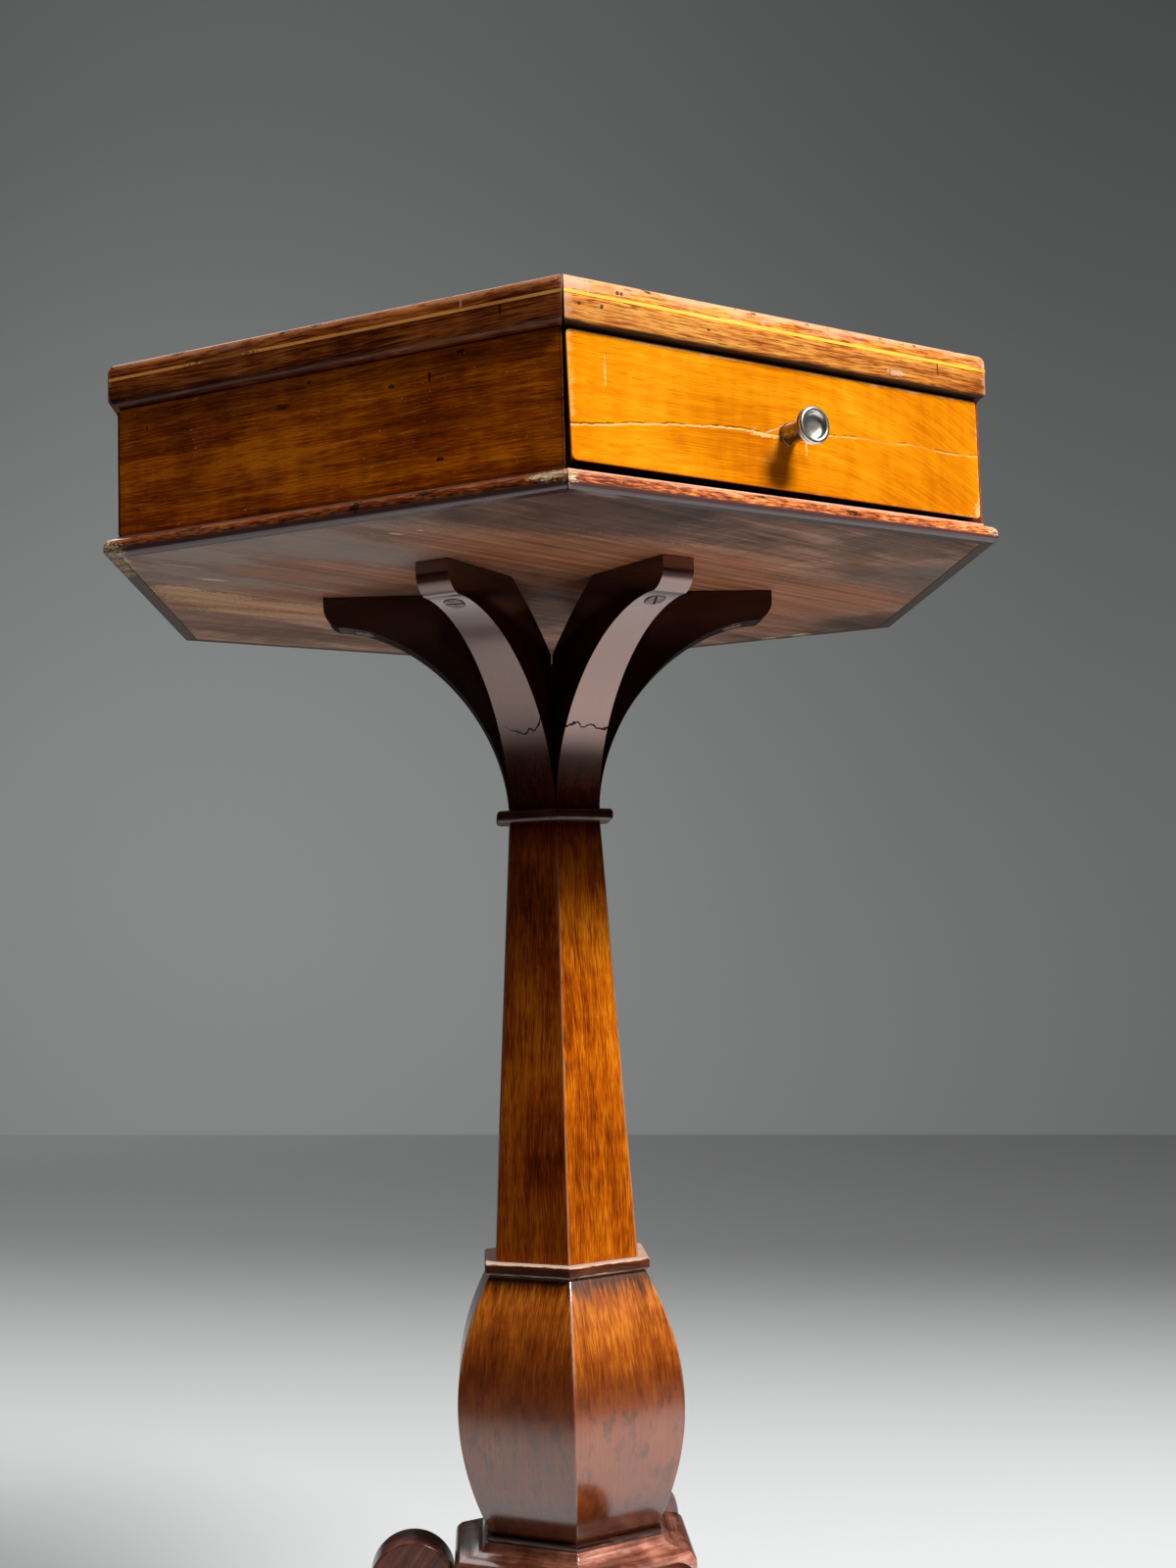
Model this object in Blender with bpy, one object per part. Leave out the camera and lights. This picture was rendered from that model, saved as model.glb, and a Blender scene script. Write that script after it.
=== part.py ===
"""Hexagonal pedestal table with one drawer, built from its separate joinery pieces (metres, +Z up).

The column's axis stands on the floor under an empty. Every six-sided piece has a corner on +X, so its
flat faces look along 30, 90, 150 ... degrees. The drawer is in the face that looks along -Y.
"""

import math

import bmesh
import bpy
from mathutils import Matrix, Vector

# Clearances
GAP = 0.0003              # glue line between pieces that touch
DRAWER_PLAY = 0.0008      # play beside the drawer and above its front
FRONT_END_PLAY = 0.0008   # play at each end of the drawer front
FRONT_GAP_LEFT = 0.0045   # daylight under the drawer front, whose lower edge is worn to a slant
FRONT_GAP_RIGHT = 0.0018

# Top
TOP_OVERHANG = 0.0038     # box's face to the top's edge
TOP_THICKNESS = 0.0207
TOP_EDGE_WIDTH = 0.030
TOP_EDGE_ROUND = 0.0045   # rounding of the upper outer edge
TOP_UNDER_RISE = 0.0046   # height of the rounding under the edge
TOP_UNDER_DEPTH = 0.0036  # how far that rounding goes in
STRING_WIDTH = 0.0014
STRING_DEPTH = 0.0016
STRING_DROP = 0.0080      # top surface to the inlaid line's middle

# Box under the top
BOX_CORNER_R = 0.2331     # column axis to the box's corners
BOX_HEIGHT = 0.0599
PANEL_THICKNESS = 0.012

# Bottom board and its moulded edge
BOTTOM_OVERHANG = 0.0060  # box's face to the moulded edge
BOTTOM_THICKNESS = 0.0098
BOTTOM_EDGE_WIDTH = 0.0075
BOTTOM_EDGE_ROUND = 0.0060  # rounding of the upper outer edge

# Drawer
FRONT_THICKNESS = 0.016
DRAWER_WALL = 0.008       # sides and back
DRAWER_INSET = 0.012      # box's inner front corner to the drawer's side
DRAWER_FLOOR = 0.005
GROOVE_DEPTH = 0.004
GROOVE_RISE = 0.005       # lower edge of the sides to the groove
SIDE_DROP = 0.004         # top of the drawer front down to the sides
TAIL_COUNT = 2
TAIL_LENGTH = 0.010
TAIL_FLARE = 0.0015
RUNNER_THICKNESS = 0.004
RUNNER_WIDTH = 0.020
GUIDE_WIDTH = 0.012
GUIDE_HEIGHT = 0.024
STOP_THICKNESS = 0.012
STOP_WIDTH = 0.060
STOP_HEIGHT = 0.030

# Knob and its screw
KNOB_HEIGHT = 0.028       # bottom of the box to the knob's middle
KNOB_REACH = 0.0187
KNOB_STEM_R = 0.0050
KNOB_RIM_R = 0.0084
KNOB_WAIST_R = 0.0045
KNOB_RIM_WIDTH = 0.0035
KNOB_DISH = 0.0024        # depth of the hollow in the knob's face
KNOB_BITE = 0.008         # screw inside the knob
KNOB_SCREW_R = 0.0018
KNOB_SCREW_HEAD_R = 0.0042
KNOB_SCREW_HEAD = 0.0022

# Bracket arms
ARM_HEIGHT = 0.1133
ARM_REACH = 0.1170
ARM_SEAT = 0.0560         # length of the seat under the bottom board
ARM_TIP_WIDTH = 0.0186
ARM_NOSE = 0.0115         # rounding of the outer end
ARM_NOSE_DROP = 0.0050    # straight stretch above the rounding
ARM_CURVE = 1.8           # power of the outer sweep: 2 is an ellipse
ARM_CROWN_CURVE = 1.15    # power of the inner sweep
ARM_CROWN_DEPTH = 0.058
ARM_CORE_R = 0.006        # blunt inner edges of the wedges
ARM_SCREW_INSET = 0.0203  # arm's tip to its screw
ARM_SCREW_R = 0.0022
ARM_SCREW_HEAD_R = 0.0050
ARM_SCREW_HEAD = 0.0030
ARM_SCREW_SINK = 0.0010   # recess of the head below the arm's surface
ARM_SCREW_BITE = 0.0060   # screw inside the bottom board
SLOT_WIDTH = 0.0010
SLOT_DEPTH = 0.0012

# Column
UPPER_COLLAR_R = 0.0344
UPPER_COLLAR_HEIGHT = 0.0061
SHAFT_TOP_R = 0.0268
SHAFT_BOTTOM_R = 0.0412
SHAFT_LENGTH = 0.2197
LOWER_COLLAR_R = 0.0476
LOWER_COLLAR_HEIGHT = 0.0061
BULB_R = 0.0646
BULB_TOP_R = 0.0446
BULB_BOTTOM_R = 0.0472
BULB_UPPER_HEIGHT = 0.0631
BULB_LOWER_HEIGHT = 0.0617
FILLET_R = 0.0498
FILLET_HEIGHT = 0.0031
SPIGOT_R = 0.0150         # six-sided spigots that join the column's pieces
SPIGOT_LENGTH = 0.0360

# Plinth and legs
PLINTH_R = 0.0685
PLINTH_NECK_R = 0.0510
PLINTH_SIDE_HEIGHT = 0.0800
PLINTH_OGEE_HEIGHT = 0.0113
PLINTH_CHAMFER = 0.0060
PLINTH_BASE_HEIGHT = 0.0850
LEG_REACH = 0.2000
LEG_WIDTH = 0.0250
LEG_JOINT_HEIGHT = 0.0600  # leg's seat on the plinth, below the scroll's middle
SCROLL_R = 0.0212
SCROLL_DROP = 0.0126      # plinth's lip to the scroll's middle
TOE_R = 0.0150
SOLE_LENGTH = 0.0140
BACK_FALL = 0.42          # how long the leg's back stays steep, as a share of its drop
BACK_RUN = 0.58           # how long the back stays flat before the toe, as a share of its span
BELLY_FALL = 0.40         # the same two shares for the leg's underside
BELLY_RUN = 0.34
TENON_WIDTH = 0.0110
TENON_HEIGHT = 0.0360
TENON_LENGTH = 0.0160

# Facets
ROUND_STEPS = 24
ARC_STEPS = 6
SWEEP_STEPS = 14

SIDES = 6
SIDE_TURN = math.tau / SIDES
APOTHEM = math.cos(SIDE_TURN / 2)
MITRE = math.tan(SIDE_TURN / 2)
DRAWER_FACE = -math.pi / 2
LEG_FACES = (0, 2, 4)

# Heights, summed from the floor
plinth_low = PLINTH_BASE_HEIGHT
plinth_lip = plinth_low + PLINTH_SIDE_HEIGHT
fillet_low = plinth_lip + PLINTH_OGEE_HEIGHT
bulb_low = fillet_low + FILLET_HEIGHT
bulb_wide = bulb_low + BULB_LOWER_HEIGHT
lower_collar_low = bulb_wide + BULB_UPPER_HEIGHT
shaft_low = lower_collar_low + LOWER_COLLAR_HEIGHT
upper_collar_low = shaft_low + SHAFT_LENGTH
arm_low = upper_collar_low + UPPER_COLLAR_HEIGHT
bottom_low = arm_low + ARM_HEIGHT
box_low = bottom_low + BOTTOM_THICKNESS
top_low = box_low + BOX_HEIGHT
table_top = top_low + TOP_THICKNESS

# Distances from the column's axis to flat faces
box_face = BOX_CORNER_R * APOTHEM
top_face = box_face + TOP_OVERHANG
bottom_face = box_face + BOTTOM_OVERHANG
plinth_face = PLINTH_R * APOTHEM
panel_back = box_face - PANEL_THICKNESS
front_back = box_face - FRONT_THICKNESS

# The knob stands out past the front, so the axis is set back to keep the footprint centred
axis_y = (box_face + KNOB_REACH - max(bottom_face, top_face)) / 2

# Drawer
drawer_half = panel_back * MITRE - DRAWER_INSET
runner_top = box_low + RUNNER_THICKNESS
drawer_low = runner_top + GAP
front_low_left = box_low + FRONT_GAP_LEFT
front_low_right = box_low + FRONT_GAP_RIGHT
front_high = top_low - GAP - DRAWER_PLAY
side_high = front_high - SIDE_DROP
floor_low = drawer_low + GROOVE_RISE
drawer_end = panel_back - STOP_THICKNESS - 2 * GAP


def finish(name, color, roughness, metallic=0.0):
    """A plain material."""
    material = bpy.data.materials.new(name)
    material.use_nodes = True
    shader = material.node_tree.nodes["Principled BSDF"]
    shader.inputs["Base Color"].default_value = (*color, 1)
    shader.inputs["Roughness"].default_value = roughness
    shader.inputs["Metallic"].default_value = metallic
    return material


def to_object(name, bm):
    """Turn the faces outwards and link the mesh as an object."""
    bmesh.ops.recalc_face_normals(bm, faces=bm.faces)
    mesh = bpy.data.meshes.new(name)
    bm.to_mesh(mesh)
    bm.free()
    piece = bpy.data.objects.new(name, mesh)
    bpy.context.collection.objects.link(piece)
    return piece


def place(piece, material, parent, turn=0.0):
    """Give a piece its material and its turn about the parent's axis."""
    piece.data.materials.clear()
    piece.data.materials.append(material)
    piece.parent = parent
    piece.rotation_euler.z = turn
    return piece


def copy_of(piece, name):
    """Another object on the same mesh."""
    twin = bpy.data.objects.new(name, piece.data)
    bpy.context.collection.objects.link(twin)
    return twin


def face_turn(index):
    """Direction of a flat face, counted from the drawer's."""
    return DRAWER_FACE + index * SIDE_TURN


def slab(name, outline, low, high):
    """An outline in x and y, pulled up from one height to another."""
    bm = bmesh.new()
    face = bm.faces.new([bm.verts.new((x, y, low)) for x, y in outline])
    grown = bmesh.ops.extrude_face_region(bm, geom=[face])["geom"]
    verts = [v for v in grown if isinstance(v, bmesh.types.BMVert)]
    bmesh.ops.translate(bm, verts=verts, vec=(0, 0, high - low))
    return to_object(name, bm)


def block(name, low, high):
    """A square-edged block between two corners."""
    outline = [(low[0], low[1]), (high[0], low[1]), (high[0], high[1]), (low[0], high[1])]
    return slab(name, outline, low[2], high[2])


def board(name, outline, half_width):
    """An outline in x and z, pulled out to both sides along y."""
    bm = bmesh.new()
    face = bm.faces.new([bm.verts.new((x, -half_width, z)) for x, z in outline])
    grown = bmesh.ops.extrude_face_region(bm, geom=[face])["geom"]
    verts = [v for v in grown if isinstance(v, bmesh.types.BMVert)]
    bmesh.ops.translate(bm, verts=verts, vec=(0, 2 * half_width, 0))
    return to_object(name, bm)


def mitred_strip(name, section, end_play=0.0):
    """A section in x and z that runs along one face of a hexagon, with its ends cut to the mitre."""
    piece = board(name, section, 1.0)
    cut_back = GAP / 2 / APOTHEM + end_play
    for vert in piece.data.vertices:
        vert.co.y = math.copysign(vert.co.x * MITRE - cut_back, vert.co.y)
    return piece


def turned(name, profile, steps=ROUND_STEPS):
    """A profile in radius and z, spun about z. Six steps make a six-sided piece."""
    bm = bmesh.new()
    verts = [bm.verts.new((r, 0, z)) for r, z in profile]
    edges = [bm.edges.new(pair) for pair in zip(verts, verts[1:])]
    on_axis = profile[0][0] == 0 and profile[-1][0] == 0
    if not on_axis:
        edges.append(bm.edges.new((verts[-1], verts[0])))
    bmesh.ops.spin(bm, geom=verts + edges, cent=(0, 0, 0), axis=(0, 0, 1), angle=math.tau, steps=steps)
    bmesh.ops.remove_doubles(bm, verts=bm.verts, dist=1e-6)
    return to_object(name, bm)


def hexagonal(name, profile):
    """A six-sided piece, with one corner on +X."""
    return turned(name, profile, SIDES)


def combine(body, tool, operation):
    """Apply a Boolean of the tool to the body, and remove the tool."""
    modifier = body.modifiers.new(operation.lower(), "BOOLEAN")
    modifier.operation = operation
    modifier.object = tool
    bpy.context.view_layer.update()
    with bpy.context.temp_override(object=body):
        bpy.ops.object.modifier_apply(modifier=modifier.name)
    bpy.data.objects.remove(tool)


def cut(body, tool):
    combine(body, tool, "DIFFERENCE")


def arc(centre, radius, start, end, steps=ARC_STEPS):
    """Points along an arc, with its angles in degrees."""
    turns = [math.radians(start + (end - start) * i / steps) for i in range(steps + 1)]
    return [(centre[0] + radius * math.cos(t), centre[1] + radius * math.sin(t)) for t in turns]


def sweep(start, end, power, steps=SWEEP_STEPS):
    """A quarter of a superellipse that leaves start along x and reaches end along z."""
    points = []
    for i in range(steps + 1):
        turn = math.pi / 2 * i / steps
        across = math.sin(turn) ** (2 / power)
        along = math.cos(turn) ** (2 / power)
        points.append((start[0] + (end[0] - start[0]) * across, end[1] + (start[1] - end[1]) * along))
    return points


def bezier(start, start_pull, end_pull, end, steps=SWEEP_STEPS):
    """Points along a cubic curve."""
    points = []
    for i in range(steps + 1):
        t = i / steps
        weights = ((1 - t) ** 3, 3 * t * (1 - t) ** 2, 3 * t * t * (1 - t), t ** 3)
        nodes = (start, start_pull, end_pull, end)
        points.append(tuple(sum(w * p[axis] for w, p in zip(weights, nodes)) for axis in (0, 1)))
    return points


def bullnose(radius, low, high):
    """Profile of a plate's half-round edge, from its upper to its lower corner."""
    half = (high - low) / 2
    return arc((radius - half, low + half), half, 90, -90)


def slot_cutter(radius, low):
    """A screwdriver slot across the underside of a head."""
    half = SLOT_WIDTH / 2
    return block("slot", (-2 * radius, -half, low - SLOT_DEPTH), (2 * radius, half, low + SLOT_DEPTH))


# Top
def make_top(parent, wood, pale):
    high = table_top
    inner = top_face - TOP_EDGE_WIDTH
    board_r = (inner - GAP) / APOTHEM
    low = top_low
    place(hexagonal("top_board", [(0, high), (board_r, high), (board_r, low), (0, low)]), wood, parent)

    line_high = high - STRING_DROP + STRING_WIDTH / 2
    line_low = line_high - STRING_WIDTH
    groove = top_face - STRING_DEPTH
    rounding = arc((top_face - TOP_EDGE_ROUND, high - TOP_EDGE_ROUND), TOP_EDGE_ROUND, 90, 0)
    section = [(inner, low), (inner, high)] + rounding
    section += [(top_face, line_high + GAP), (groove, line_high + GAP)]
    section += [(groove, line_low - GAP), (top_face, line_low - GAP)]
    section += sweep((top_face - TOP_UNDER_DEPTH, low), (top_face, low + TOP_UNDER_RISE), 2, ARC_STEPS)[::-1]
    strip = mitred_strip("top_edge_1", section)
    inlay_back = groove + GAP
    line = mitred_strip("top_stringing_1", [
        (inlay_back, line_low), (inlay_back, line_high), (top_face, line_high), (top_face, line_low)])
    for i in range(SIDES):
        edge = strip if i == 0 else copy_of(strip, f"top_edge_{i + 1}")
        inlay = line if i == 0 else copy_of(line, f"top_stringing_{i + 1}")
        place(edge, wood, parent, face_turn(i))
        place(inlay, pale, parent, face_turn(i))


# Box
def make_box(parent, veneer, lining):
    low = box_low
    high = top_low - GAP
    first = mitred_strip("side_panel_1", [
        (panel_back, low), (panel_back, high), (box_face, high), (box_face, low)])
    for i in range(1, SIDES):
        panel = first if i == 1 else copy_of(first, f"side_panel_{i}")
        place(panel, veneer, parent, face_turn(i))

    inner_corner = panel_back / APOTHEM
    guide_in = drawer_half + DRAWER_PLAY
    guide_out = guide_in + GUIDE_WIDTH
    side_limit = (inner_corner - guide_out) / MITRE - 2 * GAP
    reach = min(side_limit, front_back, panel_back) - DRAWER_PLAY
    runner_in = drawer_half - RUNNER_WIDTH
    for name, side in (("left", -1), ("right", 1)):
        runner_x = sorted((side * runner_in, side * drawer_half))
        guide_x = sorted((side * guide_in, side * guide_out))
        runner = block(f"drawer_runner_{name}", (runner_x[0], -reach, low), (runner_x[1], reach, runner_top))
        guide_high = (guide_x[1], reach, low + GUIDE_HEIGHT)
        guide = block(f"drawer_guide_{name}", (guide_x[0], -reach, low), guide_high)
        place(runner, lining, parent)
        place(guide, lining, parent)
    stop_low = (-STOP_WIDTH / 2, drawer_end + GAP, low)
    stop_high = (STOP_WIDTH / 2, panel_back - GAP, low + STOP_HEIGHT)
    place(block("drawer_stop", stop_low, stop_high), lining, parent)


# Bottom board and its edge
def make_bottom(parent, wood, lining):
    low = bottom_low
    high = box_low - GAP
    inner = bottom_face - BOTTOM_EDGE_WIDTH
    board_r = (inner - GAP) / APOTHEM
    plate = hexagonal("bottom_board", [(0, high), (board_r, high), (board_r, low), (0, low)])
    hole_r = ARM_SCREW_R + GAP
    hole_top = low + ARM_SCREW_BITE + GAP
    for i in range(SIDES):
        hole = turned("hole", [(0, hole_top), (hole_r, hole_top), (hole_r, low - GAP), (0, low - GAP)])
        hole.location = Matrix.Rotation(face_turn(i), 3, "Z") @ Vector((ARM_REACH - ARM_SCREW_INSET, 0, 0))
        cut(plate, hole)
    place(plate, lining, parent)

    rounding = arc((bottom_face - BOTTOM_EDGE_ROUND, high - BOTTOM_EDGE_ROUND), BOTTOM_EDGE_ROUND, 90, 0)
    strip = mitred_strip("bottom_edge_1", [(inner, low), (inner, high)] + rounding + [(bottom_face, low)])
    for i in range(SIDES):
        edge = strip if i == 0 else copy_of(strip, f"bottom_edge_{i + 1}")
        place(edge, wood, parent, face_turn(i))


# Drawer
def tail_outline(centre, half, grow):
    """One dovetail, seen from the drawer's side: y along the drawer, then z."""
    root = front_back + grow
    tip = front_back + TAIL_LENGTH + grow
    return [
        (root, centre - half - grow), (tip, centre - half - TAIL_FLARE - grow),
        (tip, centre + half + TAIL_FLARE + grow), (root, centre + half + grow)]


def tails(side, grow, behind):
    """Wedge blocks that join a drawer side to the front, reaching back behind the front by a little."""
    span = (side_high - drawer_low) / TAIL_COUNT
    half = span / 4
    inner = drawer_half - DRAWER_WALL - grow
    outer = drawer_half + grow
    for i in range(TAIL_COUNT):
        wedge = tail_outline(drawer_low + span * (i + 0.5), half, grow)
        heel = wedge[0][0] - behind
        outline = [(heel, wedge[0][1])] + wedge + [(heel, wedge[-1][1])]
        piece = board("tail", outline, (outer - inner) / 2)
        piece.data.transform(Matrix.Rotation(DRAWER_FACE, 4, "Z"))
        piece.data.transform(Matrix.Translation((side * (inner + outer) / 2, 0, 0)))
        yield piece


def make_drawer_front(parent, veneer, hole_z):
    front = mitred_strip("drawer_front", [
        (front_back, box_low), (front_back, front_high), (box_face, front_high), (box_face, box_low)],
        FRONT_END_PLAY)
    front.data.transform(Matrix.Rotation(DRAWER_FACE, 4, "Z"))
    corner_x = box_face * MITRE
    for vert in front.data.vertices:
        if vert.co.z < hole_z:
            share = (vert.co.x + corner_x) / (2 * corner_x)
            vert.co.z = front_low_left + (front_low_right - front_low_left) * share
    for side in (-1, 1):
        for socket in tails(side, GAP, DRAWER_WALL):
            cut(front, socket)
    groove_half = drawer_half - DRAWER_WALL + GROOVE_DEPTH
    groove_low = (-groove_half, -front_back - GROOVE_DEPTH, floor_low)
    groove_high = (groove_half, -front_back + GROOVE_DEPTH, floor_low + DRAWER_FLOOR)
    cut(front, block("groove", groove_low, groove_high))
    hole_r = KNOB_SCREW_R + GAP
    hole = turned("hole", [(0, 0), (hole_r, 0), (hole_r, -2 * box_face), (0, -2 * box_face)])
    hole.data.transform(Matrix.Rotation(-math.pi / 2, 4, "X"))
    hole.location.z = hole_z
    cut(front, hole)
    place(front, veneer, parent)


def make_drawer(parent, veneer, lining, brass, steel):
    hole_z = box_low + KNOB_HEIGHT
    make_drawer_front(parent, veneer, hole_z)

    side_front = -front_back + GAP
    inner = drawer_half - DRAWER_WALL
    floor_high = floor_low + DRAWER_FLOOR
    for name, side in (("left", -1), ("right", 1)):
        x = sorted((side * inner, side * drawer_half))
        wall = block(f"drawer_side_{name}", (x[0], side_front, drawer_low), (x[1], drawer_end, side_high))
        for tail in tails(side, 0.0, DRAWER_WALL):
            combine(wall, tail, "UNION")
        groove_x = sorted((side * (inner - GROOVE_DEPTH), side * (inner + GROOVE_DEPTH)))
        groove_low = (groove_x[0], side_front - TAIL_LENGTH, floor_low)
        groove_high = (groove_x[1], drawer_end + DRAWER_WALL, floor_high)
        cut(wall, block("groove", groove_low, groove_high))
        place(wall, lining, parent)

    back_half = inner - GAP
    back_low = (-back_half, drawer_end - DRAWER_WALL, floor_high)
    place(block("drawer_back", back_low, (back_half, drawer_end, side_high)), lining, parent)
    floor_half = inner + GROOVE_DEPTH - GAP
    tray_low = (-floor_half, -front_back - GROOVE_DEPTH + GAP, floor_low + GAP)
    tray_high = (floor_half, drawer_end, floor_high - GAP)
    place(block("drawer_bottom", tray_low, tray_high), lining, parent)

    make_knob(parent, brass, steel, hole_z)


def make_knob(parent, brass, steel, height):
    bore = KNOB_SCREW_R + GAP
    rim_back = KNOB_REACH - KNOB_RIM_WIDTH
    rim_half = KNOB_RIM_WIDTH / 2
    lip = arc((KNOB_RIM_R - rim_half, KNOB_REACH - rim_half), rim_half, -60, 150)
    dish = KNOB_REACH - KNOB_DISH
    profile = [(0, KNOB_BITE + GAP), (bore, KNOB_BITE + GAP), (bore, GAP), (KNOB_STEM_R, GAP)]
    profile += [(KNOB_WAIST_R, rim_back / 2)] + lip + [(KNOB_RIM_R / 2, dish), (0, dish)]
    knob = turned("knob", profile)

    head_low = -FRONT_THICKNESS - GAP
    head_end = head_low - KNOB_SCREW_HEAD
    screw = turned("knob_screw", [
        (0, KNOB_BITE), (KNOB_SCREW_R, KNOB_BITE), (KNOB_SCREW_R, head_low), (KNOB_SCREW_HEAD_R, head_low),
        (KNOB_SCREW_HEAD_R, head_end), (0, head_end)])
    cut(screw, slot_cutter(KNOB_SCREW_HEAD_R, head_end))
    for piece, metal in ((knob, brass), (screw, steel)):
        place(piece, metal, parent)
        piece.rotation_euler = (math.pi / 2, 0, 0)
        piece.location = (0, -box_face, height)


# Bracket arms and their screws
def arm_outline():
    """One arm in radius and z, from the crown down its inner side and back up the outer sweep."""
    seat = bottom_low - GAP
    low = arm_low
    spigot = SPIGOT_R * APOTHEM + GAP
    spigot_top = arm_low + SPIGOT_LENGTH + GAP
    neck = SHAFT_TOP_R * APOTHEM
    nose = (ARM_REACH - ARM_NOSE, seat - ARM_NOSE_DROP)
    nose_arc = arc(nose, ARM_NOSE, -70, 0)
    crown = sweep((ARM_REACH - ARM_SEAT, seat), (ARM_CORE_R, seat - ARM_CROWN_DEPTH), ARM_CROWN_CURVE)
    outer = sweep(nose_arc[0], (neck, low), ARM_CURVE)
    points = [(ARM_REACH, seat)] + crown + [(ARM_CORE_R, spigot_top), (spigot, spigot_top), (spigot, low)]
    return points + outer[::-1] + nose_arc[1:]


def make_arms(parent, black, steel):
    arm = board("bracket_arm_1", arm_outline(), SHAFT_TOP_R)
    neck = SHAFT_TOP_R * APOTHEM
    half_neck = neck * MITRE
    half_tip = ARM_TIP_WIDTH / 2
    plan = [(GAP, 0), (neck, half_neck - GAP), (ARM_REACH + GAP, half_tip)]
    plan += [(ARM_REACH + GAP, -half_tip), (neck, -half_neck + GAP)]
    combine(arm, slab("plan", plan, arm_low - ARM_HEIGHT, bottom_low + ARM_HEIGHT), "INTERSECT")

    screw_r = ARM_REACH - ARM_SCREW_INSET
    surface = min(z for r, z in arm_outline() if r >= screw_r)
    head_low = surface + ARM_SCREW_SINK
    head_high = head_low + ARM_SCREW_HEAD
    below = arm_low
    tip = bottom_low + ARM_SCREW_BITE
    hole_r = ARM_SCREW_R + GAP
    seat_r = ARM_SCREW_HEAD_R + GAP
    hole = turned("hole", [
        (0, tip), (hole_r, tip), (hole_r, head_high + GAP), (seat_r, head_low + GAP),
        (seat_r, below), (0, below)])
    hole.location.x = screw_r
    cut(arm, hole)
    screw = turned("bracket_screw_1", [
        (0, tip), (ARM_SCREW_R, tip), (ARM_SCREW_R, head_high), (ARM_SCREW_HEAD_R, head_low), (0, head_low)])
    cut(screw, slot_cutter(ARM_SCREW_HEAD_R, head_low))
    for i in range(SIDES):
        bracket = arm if i == 0 else copy_of(arm, f"bracket_arm_{i + 1}")
        fixing = screw if i == 0 else copy_of(screw, f"bracket_screw_{i + 1}")
        place(bracket, black, parent, face_turn(i))
        place(fixing, steel, parent, face_turn(i))
        fixing.location = Matrix.Rotation(face_turn(i), 3, "Z") @ Vector((screw_r, 0, 0))


# Column
def collar(name, radius, low, high):
    """A bullnose plate with a six-sided hole for the spigot."""
    hole = SPIGOT_R + GAP
    return hexagonal(name, [(hole, low), (hole, high)] + bullnose(radius, low, high))


def bulb_profile():
    """Two parabolas that meet at the widest height, from the top down."""
    points = []
    for i in range(-SWEEP_STEPS, SWEEP_STEPS + 1):
        share = i / SWEEP_STEPS
        end_r = BULB_TOP_R if share < 0 else BULB_BOTTOM_R
        height = BULB_UPPER_HEIGHT - GAP if share < 0 else BULB_LOWER_HEIGHT
        points.append((BULB_R - (BULB_R - end_r) * share ** 2, bulb_wide - height * share))
    return points


def ogee(start, end):
    """A double curve from a narrow upper ring to a wide lower one."""
    middle = ((start[0] + end[0]) / 2, (start[1] + end[1]) / 2)
    return sweep(middle, start, 2, ARC_STEPS)[::-1] + sweep(middle, end, 2, ARC_STEPS)[1:]


def make_column(parent, wood, black, red):
    arm_top = arm_low + SPIGOT_LENGTH
    shaft_high = upper_collar_low - GAP
    socket_r = SPIGOT_R + GAP
    shaft_end = lower_collar_low - SPIGOT_LENGTH
    place(collar("upper_collar", UPPER_COLLAR_R, upper_collar_low, arm_low - GAP), black, parent)
    shaft = hexagonal("shaft", [
        (0, arm_top), (SPIGOT_R, arm_top), (SPIGOT_R, shaft_high), (SHAFT_TOP_R, shaft_high),
        (SHAFT_BOTTOM_R, shaft_low), (SPIGOT_R, shaft_low), (SPIGOT_R, shaft_end), (0, shaft_end)])
    place(shaft, wood, parent)
    place(collar("lower_collar", LOWER_COLLAR_R, lower_collar_low, shaft_low - GAP), black, parent)

    socket_end = shaft_end - GAP
    bulb_top = lower_collar_low - GAP
    spigot_end = fillet_low - SPIGOT_LENGTH
    profile = [(0, socket_end), (socket_r, socket_end), (socket_r, bulb_top)] + bulb_profile()
    profile += [(SPIGOT_R, bulb_low), (SPIGOT_R, spigot_end), (0, spigot_end)]
    place(hexagonal("bulb", profile), wood, parent)

    fillet_high = bulb_low - GAP
    place(hexagonal("foot_fillet", [
        (socket_r, fillet_low), (socket_r, fillet_high), (FILLET_R, fillet_high), (FILLET_R, fillet_low)]),
        wood, parent)

    plinth_high = fillet_low - GAP
    mortise_end = spigot_end - GAP
    profile = [(0, mortise_end), (socket_r, mortise_end), (socket_r, plinth_high)]
    profile += ogee((PLINTH_NECK_R, plinth_high), (PLINTH_R, plinth_lip))
    profile += [(PLINTH_R, plinth_low + PLINTH_CHAMFER), (PLINTH_R - PLINTH_CHAMFER, plinth_low)]
    profile += [(0, plinth_low)]
    plinth = hexagonal("plinth", profile)
    for index in LEG_FACES:
        mortise = tenon(GAP)
        mortise.data.transform(Matrix.Rotation(face_turn(index), 4, "Z"))
        cut(plinth, mortise)
    place(plinth, red, parent)


# Legs
def tenon(grow):
    """The block that joins a leg to its face of the plinth."""
    high = plinth_lip - SCROLL_DROP + grow
    low = high - TENON_HEIGHT - 2 * grow
    inner = plinth_face - TENON_LENGTH - grow
    half = TENON_WIDTH / 2 + grow
    return block("tenon", (inner, -half, low), (plinth_face + SCROLL_R, half, high))


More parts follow.
